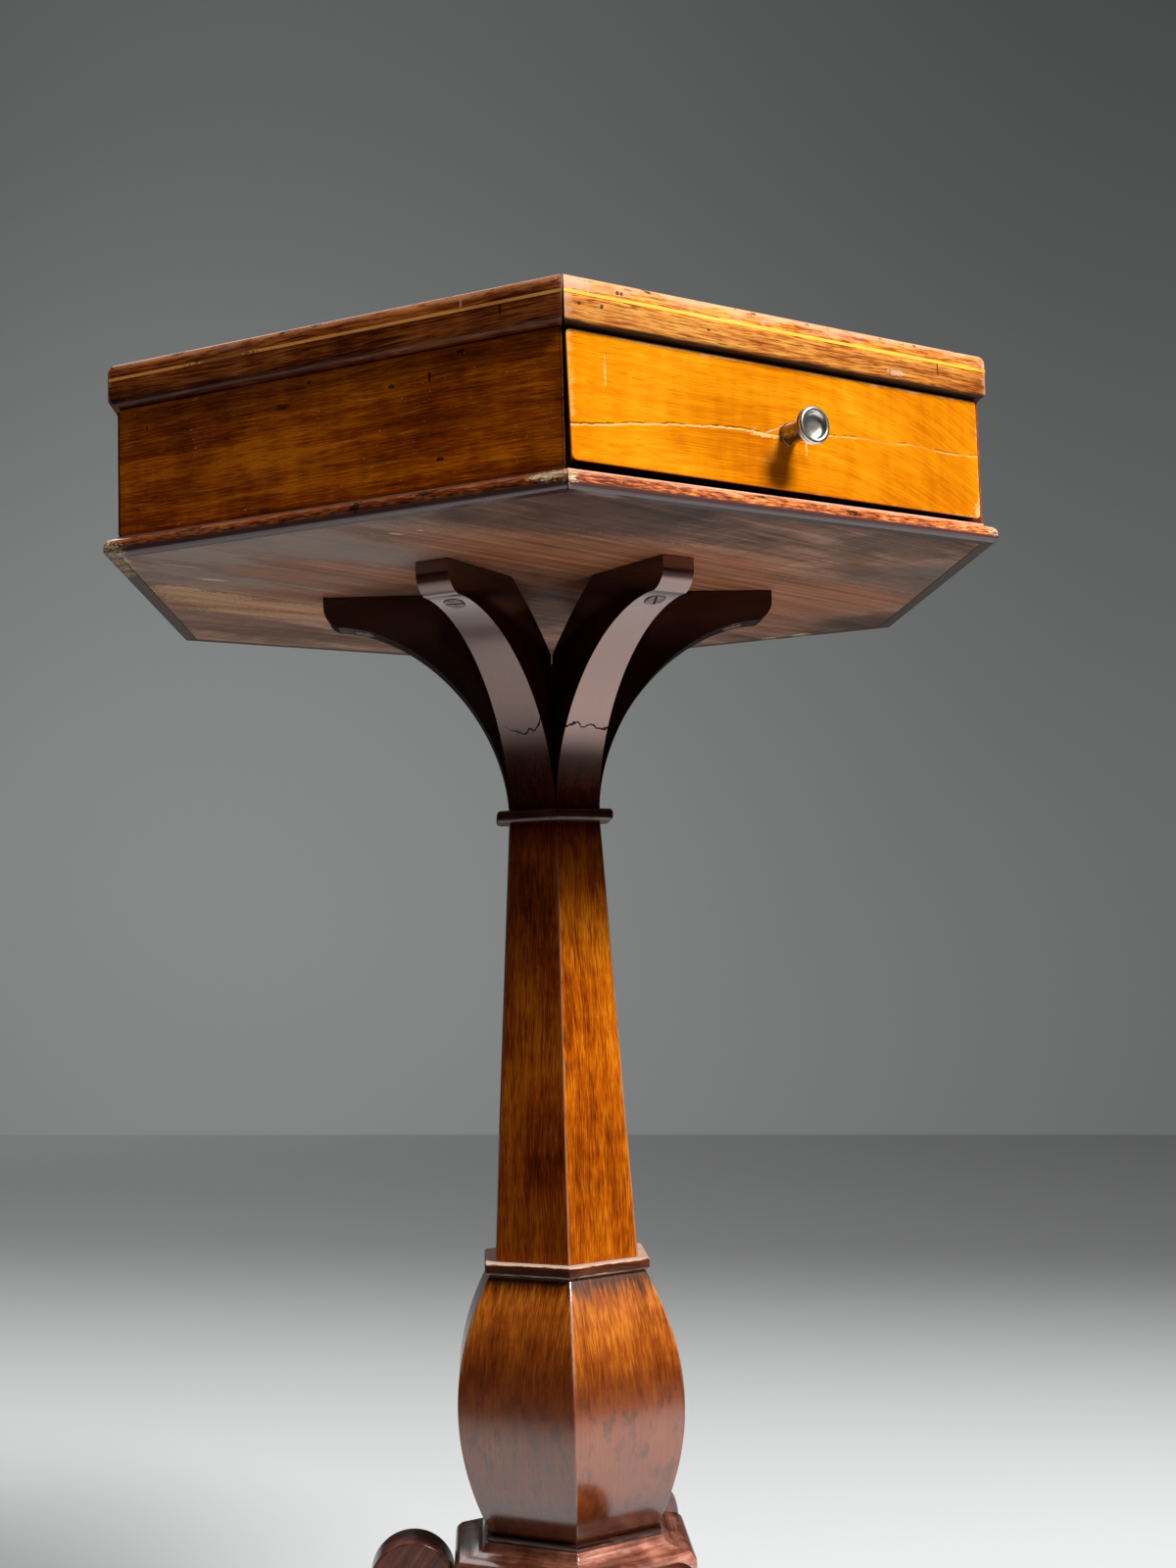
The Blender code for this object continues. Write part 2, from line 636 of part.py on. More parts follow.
def leg_outline():
    """One leg in radius and z, from its seat on the plinth over the scroll and down to the sole."""
    seat = plinth_face + GAP
    scroll = (seat + SCROLL_R, plinth_lip - SCROLL_DROP)
    joint_low = (seat, scroll[1] - LEG_JOINT_HEIGHT)
    toe = (LEG_REACH - TOE_R, TOE_R)
    upper = arc(scroll, SCROLL_R, 180, -50, 3 * ARC_STEPS)
    toe_arc = arc(toe, TOE_R, 100, -90, 2 * ARC_STEPS)
    sole = (toe[0] - SOLE_LENGTH, 0.0)
    span = toe[0] - scroll[0]
    fall = scroll[1] - toe[1]
    knee = upper[-1]
    instep = toe_arc[0]
    back_pull = (knee[0], knee[1] - fall * BACK_FALL)
    back = bezier(knee, back_pull, (instep[0] - span * BACK_RUN, instep[1]), instep)
    belly_pull = (joint_low[0], joint_low[1] - fall * BELLY_FALL)
    belly = bezier(sole, (sole[0] - span * BELLY_RUN, 0.0), belly_pull, joint_low)
    return upper + back[1:] + toe_arc[1:] + belly


def make_legs(parent, red):
    leg = board("leg_1", leg_outline(), LEG_WIDTH / 2)
    combine(leg, tenon(0.0), "UNION")
    for number, index in enumerate(LEG_FACES, start=1):
        piece = leg if number == 1 else copy_of(leg, f"leg_{number}")
        place(piece, red, parent, face_turn(index))


def main():
    for old in list(bpy.data.objects):
        bpy.data.objects.remove(old)

    veneer = finish("polished_veneer", (0.30, 0.13, 0.05), 0.25)
    rim = finish("rim_wood", (0.22, 0.08, 0.035), 0.25)
    pale = finish("pale_inlay", (0.62, 0.44, 0.20), 0.35)
    black = finish("black_polish", (0.02, 0.013, 0.011), 0.18)
    red = finish("red_brown_polish", (0.16, 0.055, 0.03), 0.2)
    lining = finish("plain_wood", (0.33, 0.22, 0.13), 0.6)
    brass = finish("aged_metal", (0.33, 0.30, 0.27), 0.4, 1.0)
    steel = finish("screw_steel", (0.30, 0.29, 0.28), 0.45, 1.0)

    column = bpy.data.objects.new("column_axis", None)
    column.location.y = axis_y
    drawer = bpy.data.objects.new("drawer_slide", None)
    drawer.parent = column
    for empty in (column, drawer):
        bpy.context.collection.objects.link(empty)

    make_top(column, rim, pale)
    make_box(column, veneer, lining)
    make_bottom(column, rim, lining)
    make_drawer(drawer, veneer, lining, brass, steel)
    make_arms(column, black, steel)
    make_column(column, veneer, black, red)
    make_legs(column, red)
    for piece in bpy.data.objects:
        if piece.type == "MESH":
            piece.data.set_sharp_from_angle(angle=math.radians(35))
    bpy.context.view_layer.update()


main()
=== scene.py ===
import math

import bmesh
import bpy
from mathutils import Matrix, Vector


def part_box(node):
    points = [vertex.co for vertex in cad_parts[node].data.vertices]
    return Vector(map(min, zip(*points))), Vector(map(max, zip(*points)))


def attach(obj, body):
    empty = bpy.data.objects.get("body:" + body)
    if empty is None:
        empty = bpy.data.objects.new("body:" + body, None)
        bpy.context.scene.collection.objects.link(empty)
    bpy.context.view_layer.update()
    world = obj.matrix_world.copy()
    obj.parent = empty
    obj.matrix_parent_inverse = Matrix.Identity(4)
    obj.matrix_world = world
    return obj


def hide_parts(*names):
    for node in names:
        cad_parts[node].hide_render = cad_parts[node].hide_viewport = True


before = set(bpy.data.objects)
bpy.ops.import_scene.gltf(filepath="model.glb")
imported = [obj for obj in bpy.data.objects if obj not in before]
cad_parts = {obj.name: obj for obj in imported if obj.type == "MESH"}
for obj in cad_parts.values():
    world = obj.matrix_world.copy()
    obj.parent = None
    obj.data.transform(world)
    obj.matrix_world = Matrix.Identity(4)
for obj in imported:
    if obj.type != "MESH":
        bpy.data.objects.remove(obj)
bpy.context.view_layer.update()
print("frame loaded:", len(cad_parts), "nodes")

# measures that every six-sided piece shares
hexTurn = math.radians(60)
mitreTan = math.tan(hexTurn / 2)
faceShare = math.cos(hexTurn / 2)  # a hexagon's flat face against its corner
axis = sum(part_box("shaft"), Vector((0, 0, 0))) / 2
axis.z = 0
topFace = axis.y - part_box("top_edge_1")[0].y
boxFace = axis.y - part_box("drawer_front")[0].y
boxFront = axis.y - boxFace
boxHalf = boxFace * mitreTan
plateFace = axis.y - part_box("bottom_edge_1")[0].y
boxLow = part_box("side_panel_1")[0].z
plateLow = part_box("bottom_board")[0].z
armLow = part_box("bracket_arm_1")[0].z
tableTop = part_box("top_board")[1].z
hair = 1e-5  # places this close are one


# hand tools
def selectOnly(piece):
    bpy.ops.object.select_all(action="DESELECT")
    piece.select_set(True)
    bpy.context.view_layer.objects.active = piece


def openMesh(piece):
    selectOnly(piece)
    bpy.ops.object.mode_set(mode="EDIT")
    bpy.ops.mesh.select_all(action="SELECT")


def closeMesh(inside=False):
    bpy.ops.mesh.select_all(action="SELECT")
    bpy.ops.mesh.normals_make_consistent(inside=inside)
    bpy.ops.object.mode_set(mode="OBJECT")


def addBlock(low, high):
    bpy.ops.object.select_all(action="DESELECT")
    low, high = Vector(low), Vector(high)
    bpy.ops.mesh.primitive_cube_add(size=1, location=(low + high) / 2, scale=high - low)
    bpy.ops.object.transform_apply(location=True, rotation=True, scale=True)
    return bpy.context.object


def discard(*pieces):
    for piece in pieces:
        bpy.data.objects.remove(piece)


def pickEdges(piece, test):
    bpy.ops.mesh.select_mode(type="EDGE")
    bpy.ops.mesh.select_all(action="DESELECT")
    mesh = bmesh.from_edit_mesh(piece.data)
    for edge in mesh.edges:
        if test(edge.verts[0].co, edge.verts[1].co):
            edge.select_set(True)
    bmesh.update_edit_mesh(piece.data)


def roundEdges(width, steps):
    bpy.ops.mesh.bevel(offset_type="OFFSET", offset=width, segments=steps, profile=0.5, affect="EDGES")


def sliceAt(place, normal, keepAll=False):
    bpy.ops.mesh.select_all(action="SELECT")
    bpy.ops.mesh.bisect(plane_co=place, plane_no=normal, use_fill=not keepAll, clear_outer=not keepAll)


def cutMitres(gap):
    for side in (-1, 1):
        out = Vector((side * math.cos(hexTurn / 2), math.sin(hexTurn / 2), 0))
        sliceAt(axis - out * gap, out)


def alongX(first, second):
    run = second - first
    return abs(run.x) > 0.9 * run.length


def mitreStrip(strip, shape):
    # cuts both ends, and splits the length so that the marks on it are close together
    openMesh(strip)
    cutMitres(shape["mitreGap"])
    pickEdges(strip, alongX)
    bpy.ops.mesh.subdivide(number_cuts=shape["cuts"])
    closeMesh()


def stackRings(sides, rings, centre, turn=0.0):
    # rings are radius and height, from the bottom up
    bpy.ops.object.select_all(action="DESELECT")
    radius, height = rings[0]
    bpy.ops.mesh.primitive_circle_add(
        vertices=sides, radius=radius, fill_type="NGON", location=(centre.x, centre.y, height),
        rotation=(0, 0, turn))
    bpy.ops.object.transform_apply(location=True, rotation=True, scale=True)
    piece = bpy.context.object
    openMesh(piece)
    for (radius, height), (wider, higher) in zip(rings, rings[1:]):
        grow = wider / radius
        bpy.ops.mesh.extrude_region_move(TRANSFORM_OT_translate={"value": (0, 0, higher - height)})
        bpy.ops.transform.resize(value=(grow, grow, 1), center_override=(centre.x, centre.y, higher))
    closeMesh()
    return piece


def outlineBoard(outline, halfWidth):
    # an outline of distance from the axis and height, as a board on the drawer's side
    bpy.ops.object.select_all(action="DESELECT")
    bpy.ops.mesh.primitive_circle_add(vertices=len(outline), radius=1, fill_type="NGON")
    piece = bpy.context.object
    for vert, (reach, height) in zip(piece.data.vertices, outline):
        vert.co = (-halfWidth, axis.y - reach, height)
    openMesh(piece)
    bpy.ops.mesh.extrude_region_move(TRANSFORM_OT_translate={"value": (2 * halfWidth, 0, 0)})
    closeMesh()
    return piece


def applyModifier(piece, kind, **settings):
    modifier = piece.modifiers.new(kind.lower(), kind)
    for key, value in settings.items():
        setattr(modifier, key, value)
    selectOnly(piece)
    bpy.ops.object.modifier_apply(modifier=modifier.name)


def cutWith(piece, tool):
    applyModifier(piece, "BOOLEAN", operation="DIFFERENCE", object=tool)
    discard(tool)


def easeEdges(piece, width, steps=3, angle=35):
    applyModifier(
        piece, "BEVEL", width=width, segments=steps, limit_method="ANGLE", angle_limit=math.radians(angle),
        use_clamp_overlap=True)


def hexRings(rings):
    return stackRings(6, rings, axis, math.radians(30))


def hexBoard(node, arris):
    low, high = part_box(node)
    piece = hexRings([(high.x, low.z), (high.x, high.z)])
    easeEdges(piece, arris, 2)
    return piece


def faceOut(index):
    turn = index * hexTurn - math.pi / 2
    return Vector((math.cos(turn), math.sin(turn), 0))


def faceAlong(index):
    out = faceOut(index)
    return Vector((-out.y, out.x, 0))


def facePoint(index, across, depth, height):
    place = axis + faceOut(index) * depth + faceAlong(index) * across
    return (place.x, place.y, height)


def turnTo(index):
    turn = Matrix.Rotation(index * hexTurn, 4, "Z")
    return Matrix.Translation(axis) @ turn @ Matrix.Translation(-axis)


def copyToFace(piece, index):
    twin = piece.copy()
    twin.data = piece.data.copy()
    bpy.context.collection.objects.link(twin)
    twin.data.transform(turnTo(index))
    return twin


def arcPoints(centre, radius, start, end, steps):
    turns = [math.radians(start + (end - start) * i / steps) for i in range(steps + 1)]
    return [(centre[0] + radius * math.cos(t), centre[1] + radius * math.sin(t)) for t in turns]


def sweepPoints(start, end, steps, power=2):
    # a quarter of a superellipse that leaves start level and reaches end upright
    points = []
    for i in range(steps + 1):
        turn = math.pi / 2 * i / steps
        across = math.sin(turn) ** (2 / power)
        along = math.cos(turn) ** (2 / power)
        points.append((start[0] + (end[0] - start[0]) * across, end[1] + (start[1] - end[1]) * along))
    return points


def curvePoints(start, startPull, endPull, end, steps):
    points = []
    for i in range(steps + 1):
        t = i / steps
        weights = ((1 - t) ** 3, 3 * t * (1 - t) ** 2, 3 * t * t * (1 - t), t ** 3)
        pulls = (start, startPull, endPull, end)
        points.append(tuple(sum(w * p[side] for w, p in zip(weights, pulls)) for side in (0, 1)))
    return points


def between(points, value):
    # a value on a line through a few points
    for (start, first), (end, second) in zip(points, points[1:]):
        if value < end:
            return first + (second - first) * max(0.0, value - start) / (end - start)
    return points[-1][1]


# marks that the finishes read: the grain's own directions, how far each edge is, and a tone
grainStep = {"level": 0.47, "upright": 0.31}  # moves the grain on from one face to the next
grainDepth = 0.15  # upright grain changes slowly with depth, so that its lines follow the face


def markHex(piece, tones=(0, 0, 0, 0, 0, 0), upright=False, sway=None, topFrom=None):
    # a face's tone is one value, or points of distance from the top and tone
    # from topFrom inwards the distance to the upper rim is counted along a flat top
    mesh = piece.data
    low = min(vert.co.z for vert in mesh.vertices)
    high = max(vert.co.z for vert in mesh.vertices)
    for name, kind in (("grain", "FLOAT_VECTOR"), ("edge", "FLOAT_COLOR"), ("tone", "FLOAT")):
        mesh.attributes.new(name, kind, "CORNER")
    grain, edge, tone = (mesh.attributes[name] for name in ("grain", "edge", "tone"))
    for face in mesh.polygons:
        middle = face.center - axis
        index = round((math.atan2(middle.y, middle.x) + math.pi / 2) / hexTurn) % 6
        out, along, level = faceOut(index), faceAlong(index), tones[index]
        for corner in face.loop_indices:
            place = mesh.vertices[mesh.loops[corner].vertex_index].co - axis
            across, depth = place.dot(along), place.dot(out)
            half = depth * mitreTan
            below = high - place.z
            rim = below + max(0.0, topFrom - depth) if topFrom else below
            edge.data[corner].color = (half + across, half - across, place.z - low, rim)
            tone.data[corner].value = between(level, below) if isinstance(level, list) else level
            if upright:
                run = (place.z, across + index * grainStep["upright"], depth * grainDepth)
            else:
                lift = sway(across) if sway else 0
                run = (across + index * grainStep["level"], place.z + lift, depth)
            grain.data[corner].vector = run


def toneFaces(piece, level, test):
    tone = piece.data.attributes["tone"]
    for face in piece.data.polygons:
        if test(face):
            for corner in face.loop_indices:
                tone.data[corner].value = level


def markBoard(piece, along, up, shift=0.0):
    mesh = piece.data
    along, up = Vector(along), Vector(up)
    through = along.cross(up)
    mesh.attributes.new("tone", "FLOAT", "CORNER")
    grain = mesh.attributes.new("grain", "FLOAT_VECTOR", "POINT")
    for vert, mark in zip(mesh.vertices, grain.data):
        place = vert.co - axis
        mark.vector = (place.dot(along) + shift, place.dot(up), place.dot(through))


def dress(piece, node, finish, body="table", name=None, angle=35):
    first, *others = node.split("_")
    piece.name = name or first + "".join(word.capitalize() for word in others)
    piece.data.name = piece.name
    piece.data.materials.clear()
    piece.data.materials.append(finishes[finish])
    selectOnly(piece)
    bpy.ops.object.shade_smooth_by_angle(angle=math.radians(angle))
    applyModifier(piece, "WEIGHTED_NORMAL", keep_sharp=True)
    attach(piece, body)
    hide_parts(node)


# node tools for the finishes
def newFinish(name):
    material = bpy.data.materials.new(name)
    material.use_nodes = True
    return material, material.node_tree


def feed(node, sockets):
    for key, value in sockets.items():
        if isinstance(value, bpy.types.NodeSocket):
            node.id_data.links.new(value, node.inputs[key])
        else:
            node.inputs[key].default_value = value


def feedShader(tree, sockets):
    feed(tree.nodes["Principled BSDF"], sockets)


def addNode(kind, sockets, **settings):
    # a node goes into the tree that its inputs come from
    tree = next(value.id_data for value in sockets.values() if isinstance(value, bpy.types.NodeSocket))
    made = tree.nodes.new(kind)
    for key, value in settings.items():
        setattr(made, key, value)
    feed(made, sockets)
    return made


def work(operation, *values, clamp=False):
    made = addNode("ShaderNodeMath", dict(enumerate(values)), operation=operation, use_clamp=clamp)
    return made.outputs[0]


def times(first, second):
    return work("MULTIPLY", first, second)


def timesAdd(value, factor, base, clamp=False):
    return work("MULTIPLY_ADD", value, factor, base, clamp=clamp)


def minus(first, second):
    return work("SUBTRACT", first, second)


def larger(first, second):
    return work("MAXIMUM", first, second)


def vectorWork(operation, first, second=(0, 0, 0), output="Vector"):
    return addNode("ShaderNodeVectorMath", {0: first, 1: second}, operation=operation).outputs[output]


def objectPlace(tree):
    return tree.nodes.new("ShaderNodeTexCoord").outputs["Object"]


def splitOf(vector):
    return list(addNode("ShaderNodeSeparateXYZ", {0: vector}).outputs)


def attributeOf(tree, name, output="Vector"):
    made = tree.nodes.new("ShaderNodeAttribute")
    made.attribute_name = name
    return made.outputs[output]


def noiseOf(vector, stretch, detail=2.0, roughness=0.5):
    # stretch is along the grain and across it, or one value for each axis
    scale = (*stretch, stretch[-1])[:3]
    placed = addNode("ShaderNodeMapping", {"Vector": vector, "Scale": scale})
    sockets = {"Vector": placed.outputs[0], "Scale": 1.0, "Detail": detail, "Roughness": roughness}
    return addNode("ShaderNodeTexNoise", sockets).outputs[0]


def shakeOf(vector, stretch, detail=2.0, roughness=0.5):
    return minus(noiseOf(vector, stretch, detail, roughness), 0.5)


def fade(value, start, end):
    # 0 at start, 1 at end, eased between them
    sockets = {"Value": value, "From Min": start, "From Max": end}
    return addNode("ShaderNodeMapRange", sockets, interpolation_type="SMOOTHSTEP").outputs[0]


def blendColour(share, first, second, kind="MIX"):
    made = addNode("ShaderNodeMix", {0: share, 6: first, 7: second}, data_type="RGBA", blend_type=kind)
    return made.outputs[2]


def tintBy(colour, share, tint, weight=1.0):
    # lays a plain tint over a colour where share is 1
    if weight != 1:
        share = times(share, weight)
    return blendColour(share, colour, (*tint, 1))


def shadeBy(colour, share, level):
    # brings a colour to a level of itself where share is 1, darker below 1 and lighter above
    factor = timesAdd(share, level - 1, 1.0)
    return blendColour(1.0, colour, factor, "MULTIPLY")


def toneRamp(value, places, tones):
    made = addNode("ShaderNodeValToRGB", {"Fac": value})
    stops = made.color_ramp.elements
    while len(stops) < len(tones):
        stops.new(0.5)
    for stop, place, colour in zip(stops, places, tones):
        stop.position = place
        stop.color = (*colour, 1)
    return made.outputs[0]


def addUp(start, pairs):
    # noise values about their middle, each by its own weight
    total = start - sum(weight for _, weight in pairs) / 2
    for value, weight in pairs:
        total = timesAdd(value, weight, total)
    return total


def edgeSpans(tree):
    # distances to the left arris, the right arris, the lower rim and the upper rim
    return [*splitOf(attributeOf(tree, "edge")), attributeOf(tree, "edge", "Alpha")]


def wearOf(tree, grain, widths):
    near = 9.0  # far from every edge, in widths of its wear
    for span, width in zip(edgeSpans(tree), widths):
        if width:
            near = work("MINIMUM", work("DIVIDE", span, width), near)
    near = timesAdd(shakeOf(grain, (70, 260), 4, 0.65), 3.0, near)
    return fade(near, 1.0, 0.25)


def spotMask(tree, ragged, marks):
    # marks are a centre and a radius along each axis
    place = objectPlace(tree)
    shake = shakeOf(place, (700, 700), 3, 0.6)
    mask = 0.0
    for centre, radii in marks:
        scaled = vectorWork("DIVIDE", vectorWork("SUBTRACT", place, centre), radii)
        reach = vectorWork("LENGTH", scaled, output="Value")
        reach = timesAdd(shake, ragged * 2, reach)
        mask = larger(fade(reach, 1.0, 0.6), mask)
    return mask


def faceSpots(depth, datum, through, rows):
    # rows are a face, a place along it and above the datum, and the radii along and up
    # marks on the drawer's face have their own radius into the wood
    return [
        (facePoint(index, across, depth, datum + above), (wide, wide if index else through, tall))
        for index, across, above, wide, tall in rows]


def underSpots(depth, rows):
    # rows are a place on the underside and the radii along x and y
    return [((x, y, plateLow), (wide, deep, depth)) for x, y, wide, deep in rows]


# one recipe for every wood: growth bands, fibres, pores, cross figure, clouded polish and worn edges
plainWood = {
    "stops": (0.2, 0.5, 0.8),  # where the ramp has the dark, the middle and the pale tone
    "bands": (4, 150), "bandShare": 1.0,
    "fibre": (55, 1000), "fibreShare": 0.8,
    "cross": (110, 20), "crossShare": 0.3,
    "cloud": (14, 20), "cloudShare": 0.7,
    "pores": (150, 2600), "poreShare": 0.5,
    "wander": 0.012,
    "worn": None, "wornShare": 0.7,
    "rough": 0.4, "sheen": 0.1, "ior": 1.45, "tint": (1, 1, 1), "relief": 0.2,
    "coat": 1.0, "coatRough": 0.06, "coatIor": 1.65,
}
darkerIsRedder = (1.0, 1.12, 1.2)  # how far a face's tone, mostly painted light and shade, moves its red, green and blue


def woodFinish(name, tones, marks=None, **changes):
    look = {**plainWood, **changes}
    material, tree = newFinish(name)
    grain = attributeOf(tree, "grain")
    drift = times(shakeOf(grain, (6, 24)), look["wander"])
    shift = addNode("ShaderNodeCombineXYZ", {1: drift}).outputs[0]
    lines = vectorWork("ADD", grain, shift)
    bands = noiseOf(lines, look["bands"], 3, 0.6)
    fibre = noiseOf(lines, look["fibre"], 3, 0.65)
    cross = noiseOf(grain, look["cross"])
    cloud = noiseOf(grain, look["cloud"], 4, 0.6)
    pores = fade(noiseOf(lines, look["pores"], 1), 0.58, 0.72)
    tone = addUp(0.5, [
        (bands, look["bandShare"]), (fibre, look["fibreShare"]), (cross, look["crossShare"]),
        (cloud, look["cloudShare"])])
    colour = toneRamp(tone, look["stops"], tones)
    colour = tintBy(colour, pores, tones[0], look["poreShare"])
    rough = addUp(look["rough"], [(cloud, 0.2), (fibre, 0.1)])
    if look["worn"]:
        worn = wearOf(tree, grain, look["worn"])
        colour = tintBy(colour, worn, look["wornColour"], look["wornShare"])
        rough = timesAdd(worn, 0.2, rough)
    # a face's tone is mostly painted light and shade: lighter towards the key light, darker away from it,
    # and a darker face is redder too
    face = attributeOf(tree, "tone", "Fac")
    shares = [larger(timesAdd(face, weight, 1.0), 0.0) for weight in darkerIsRedder]
    shade = addNode("ShaderNodeCombineXYZ", dict(enumerate(shares))).outputs[0]
    colour = blendColour(1.0, colour, shade, "MULTIPLY")
    if marks:
        colour, rough = marks(tree, grain, colour, rough)
    height = timesAdd(fibre, 0.4, times(pores, -1.0))
    bump = addNode("ShaderNodeBump", {"Height": height, "Strength": look["relief"], "Distance": 0.0002})
    feedShader(tree, {
        "Base Color": colour, "Roughness": rough, "Normal": bump.outputs[0],
        "Specular IOR Level": look["sheen"], "Specular Tint": (*look["tint"], 1), "IOR": look["ior"],
        "Coat Weight": look["coat"], "Coat Roughness": look["coatRough"], "Coat IOR": look["coatIor"],
    })
    return material


def metalFinish(name, colour, tarnish, rough, marks=None):
    material, tree = newFinish(name)
    place = objectPlace(tree)
    cloud = noiseOf(place, (260, 260), 4, 0.65)
    shown = tintBy((*colour, 1), fade(cloud, 0.4, 0.68), tarnish)
    if marks:
        shown = marks(place, shown)
    bump = addNode("ShaderNodeBump", {"Height": cloud, "Strength": 0.15, "Distance": 0.0003})
    feedShader(tree, {
        "Base Color": shown, "Roughness": addUp(rough, [(cloud, 0.3)]), "Metallic": 1.0,
        "Normal": bump.outputs[0],
    })
    return material


# old damage, each at its own place on the table
frontCrack = {
    "rise": 0.05, "shake": 0.0022, "pale": (0.0005, 0.0002), "shadowOver": 0.0008,
    "shadow": (0.0005, 0.0001), "whole": (0.03, -0.03),  # unbroken from its left end to about the knob
    # places across the drawer and above its foot
    "route": [
        (-0.117, 0.0178), (-0.106, 0.0189), (-0.083, 0.0221), (-0.052, 0.0254), (-0.024, 0.0272),
        (-0.012, 0.0268), (0.003, 0.0272), (0.02, 0.03), (0.043, 0.0315), (0.055, 0.0312), (0.078, 0.0322),
        (0.088, 0.0312), (0.117, 0.0318)],
}


def crackLine(across):
    route, rise = frontCrack["route"], frontCrack["rise"]
    span = 2 * route[-1][0]
    curve = addNode("ShaderNodeFloatCurve", {"Value": timesAdd(across, 1 / span, 0.5)})
    points = curve.mapping.curves[0].points
    points[0].location = (0, route[0][1] / rise)
    points[-1].location = (1, route[-1][1] / rise)
    for x, z in route[1:-1]:
        points.new(x / span + 0.5, z / rise)
    curve.mapping.update()
    return timesAdd(curve.outputs[0], rise, boxLow)


def drawerMarks(tree, grain, colour, rough):
    place = objectPlace(tree)
    across, _, height = splitOf(place)
    shake = shakeOf(place, (220, 1, 220), 4, 0.7)
    gap = minus(height, timesAdd(shake, frontCrack["shake"], crackLine(across)))
    whole = fade(across, *frontCrack["whole"])
    broken = fade(noiseOf(place, (90, 1), 3), 0.42, 0.54)
    shown = larger(whole, timesAdd(broken, 0.45, 0.18))
    pale = times(fade(work("ABSOLUTE", gap), *frontCrack["pale"]), shown)
    above = work("ABSOLUTE", minus(gap, frontCrack["shadowOver"]))
    shadow = times(fade(above, *frontCrack["shadow"]), times(shown, broken))
    chips = faceSpots(boxFace, boxLow, 0.01, [
        (0, -0.0135, 0.0262, 0.009, 0.001), (0, -0.0965, 0.0423, 0.0005, 0.007),
        (0, 0.01, 0.024, 0.0006, 0.004)])
    chips += faceSpots(boxFace, boxLow, 0.02, [(0, 0.1145, 0.0035, 0.0035, 0.008)])
    chips = spotMask(tree, 1.2, chips)
    # the left end has faded to yellow
    colour = blendColour(fade(across, -0.04, -0.117), colour, (0.96, 0.82, 0.35, 1), "MULTIPLY")
    colour = shadeBy(colour, shadow, 0.3)
    colour = tintBy(colour, pale, (0.95, 0.6, 0.22), 0.85)
    colour = tintBy(colour, chips, (0.95, 0.6, 0.24), 0.65)
    return colour, timesAdd(larger(pale, chips), 0.25, rough)


def knobMarks(place, colour):
    # the stem is dull where no finger polishes it
    stem = fade(splitOf(place)[1], boxFront - 0.0138, boxFront - 0.0128)
    return shadeBy(colour, stem, 0.36)


def slabMarks(tree, grain, colour, rough, under=0.98, band=(0.006, 0.003)):
    low, high = edgeSpans(tree)[2:]
    ragged = shakeOf(grain, (60, 300), 3, 0.6)
    # painted shade in a band along the lower rim, where the edge turns down from the light
    colour = shadeBy(colour, fade(timesAdd(ragged, 0.002, low), *band), under)
    below = fade(timesAdd(ragged, 0.004, high), 0.0075, 0.0125)
    colour = shadeBy(colour, below, 0.7)  # less handled below the inlaid line
    nicks = fade(noiseOf(grain, (110, 200), 3, 0.6), 0.6, 0.66)
    colour = shadeBy(colour, times(nicks, fade(high, 0.004, 0.002)), 0.2)
    holes = spotMask(tree, 0.7, faceSpots(topFace, tableTop, 0.004, [
        (0, -0.1108, -0.0124, 0.0011, 0.0011), (0, -0.0998, -0.0122, 0.0012, 0.0012),
        (0, -0.0917, -0.005, 0.0011, 0.0011), (0, -0.0898, -0.0051, 0.001, 0.001),
        (0, 0.0877, -0.0103, 0.0006, 0.0052), (0, -0.045, -0.0135, 0.0012, 0.0008),
        (5, -0.0786, -0.001, 0.005, 0.0016), (5, -0.0035, -0.001, 0.004, 0.0014),
        (5, 0.0894, -0.0109, 0.0008, 0.003),
    ]))
    bare = spotMask(tree, 1.3, faceSpots(topFace, tableTop, 0.01, [
        (0, 0.0621, -0.0168, 0.005, 0.0016), (0, -0.0149, -0.0057, 0.0012, 0.0014),
        (0, -0.112, -0.004, 0.008, 0.004), (5, 0.0707, -0.005, 0.0007, 0.003),
    ]))
    colour = tintBy(colour, bare, (0.72, 0.46, 0.32), 0.6)
    return tintBy(colour, holes, (0.02, 0.009, 0.005), 0.85), rough


def wornSlabMarks(tree, grain, colour, rough):
    # the drawer side's strip has a deep band of painted shade along its lower rim
    return slabMarks(tree, grain, colour, rough, 0.07, (0.0016, 0.0004))


def inlayMarks(tree, grain, colour, rough):
    # part of the line has gone dark on the left side
    dull = spotMask(tree, 1.5, faceSpots(topFace, tableTop, 0.01, [(5, -0.052, -0.009, 0.022, 0.01)]))
    wear = fade(noiseOf(grain, (60, 60), 3, 0.6), 0.62, 0.78)
    return shadeBy(shadeBy(colour, wear, 0.6), dull, 0.35), rough


def panelMarks(tree, grain, colour, rough):
    dents = spotMask(tree, 0.9, faceSpots(boxFace, boxLow, 0.01, [
        (5, 0.0332, 0.0465, 0.0022, 0.0012), (5, 0.0524, 0.0477, 0.0008, 0.0032),
        (5, 0.068, 0.0565, 0.0024, 0.0013), (5, -0.0092, 0.0555, 0.0016, 0.0008),
        (5, -0.0235, 0.0467, 0.0045, 0.0015), (5, 0.0846, 0.0592, 0.0014, 0.0009),
        (5, 0.0568, 0.012, 0.0024, 0.0014), (5, -0.099, 0.0483, 0.0008, 0.0014),
    ]))
    colour = shadeBy(colour, dents, 0.2)
    specks = fade(noiseOf(grain, (420, 800)), 0.71, 0.75)
    colour = tintBy(colour, specks, (0.7, 0.5, 0.3), 0.45)
    right = edgeSpans(tree)[1]
    colour = shadeBy(colour, fade(right, 0.03, 0.0), 0.85)
    arrisShade = fade(right, 0.0024, 0.0012)  # painted shade along the arris at the drawer's end
    return shadeBy(colour, arrisShade, 0.3), rough


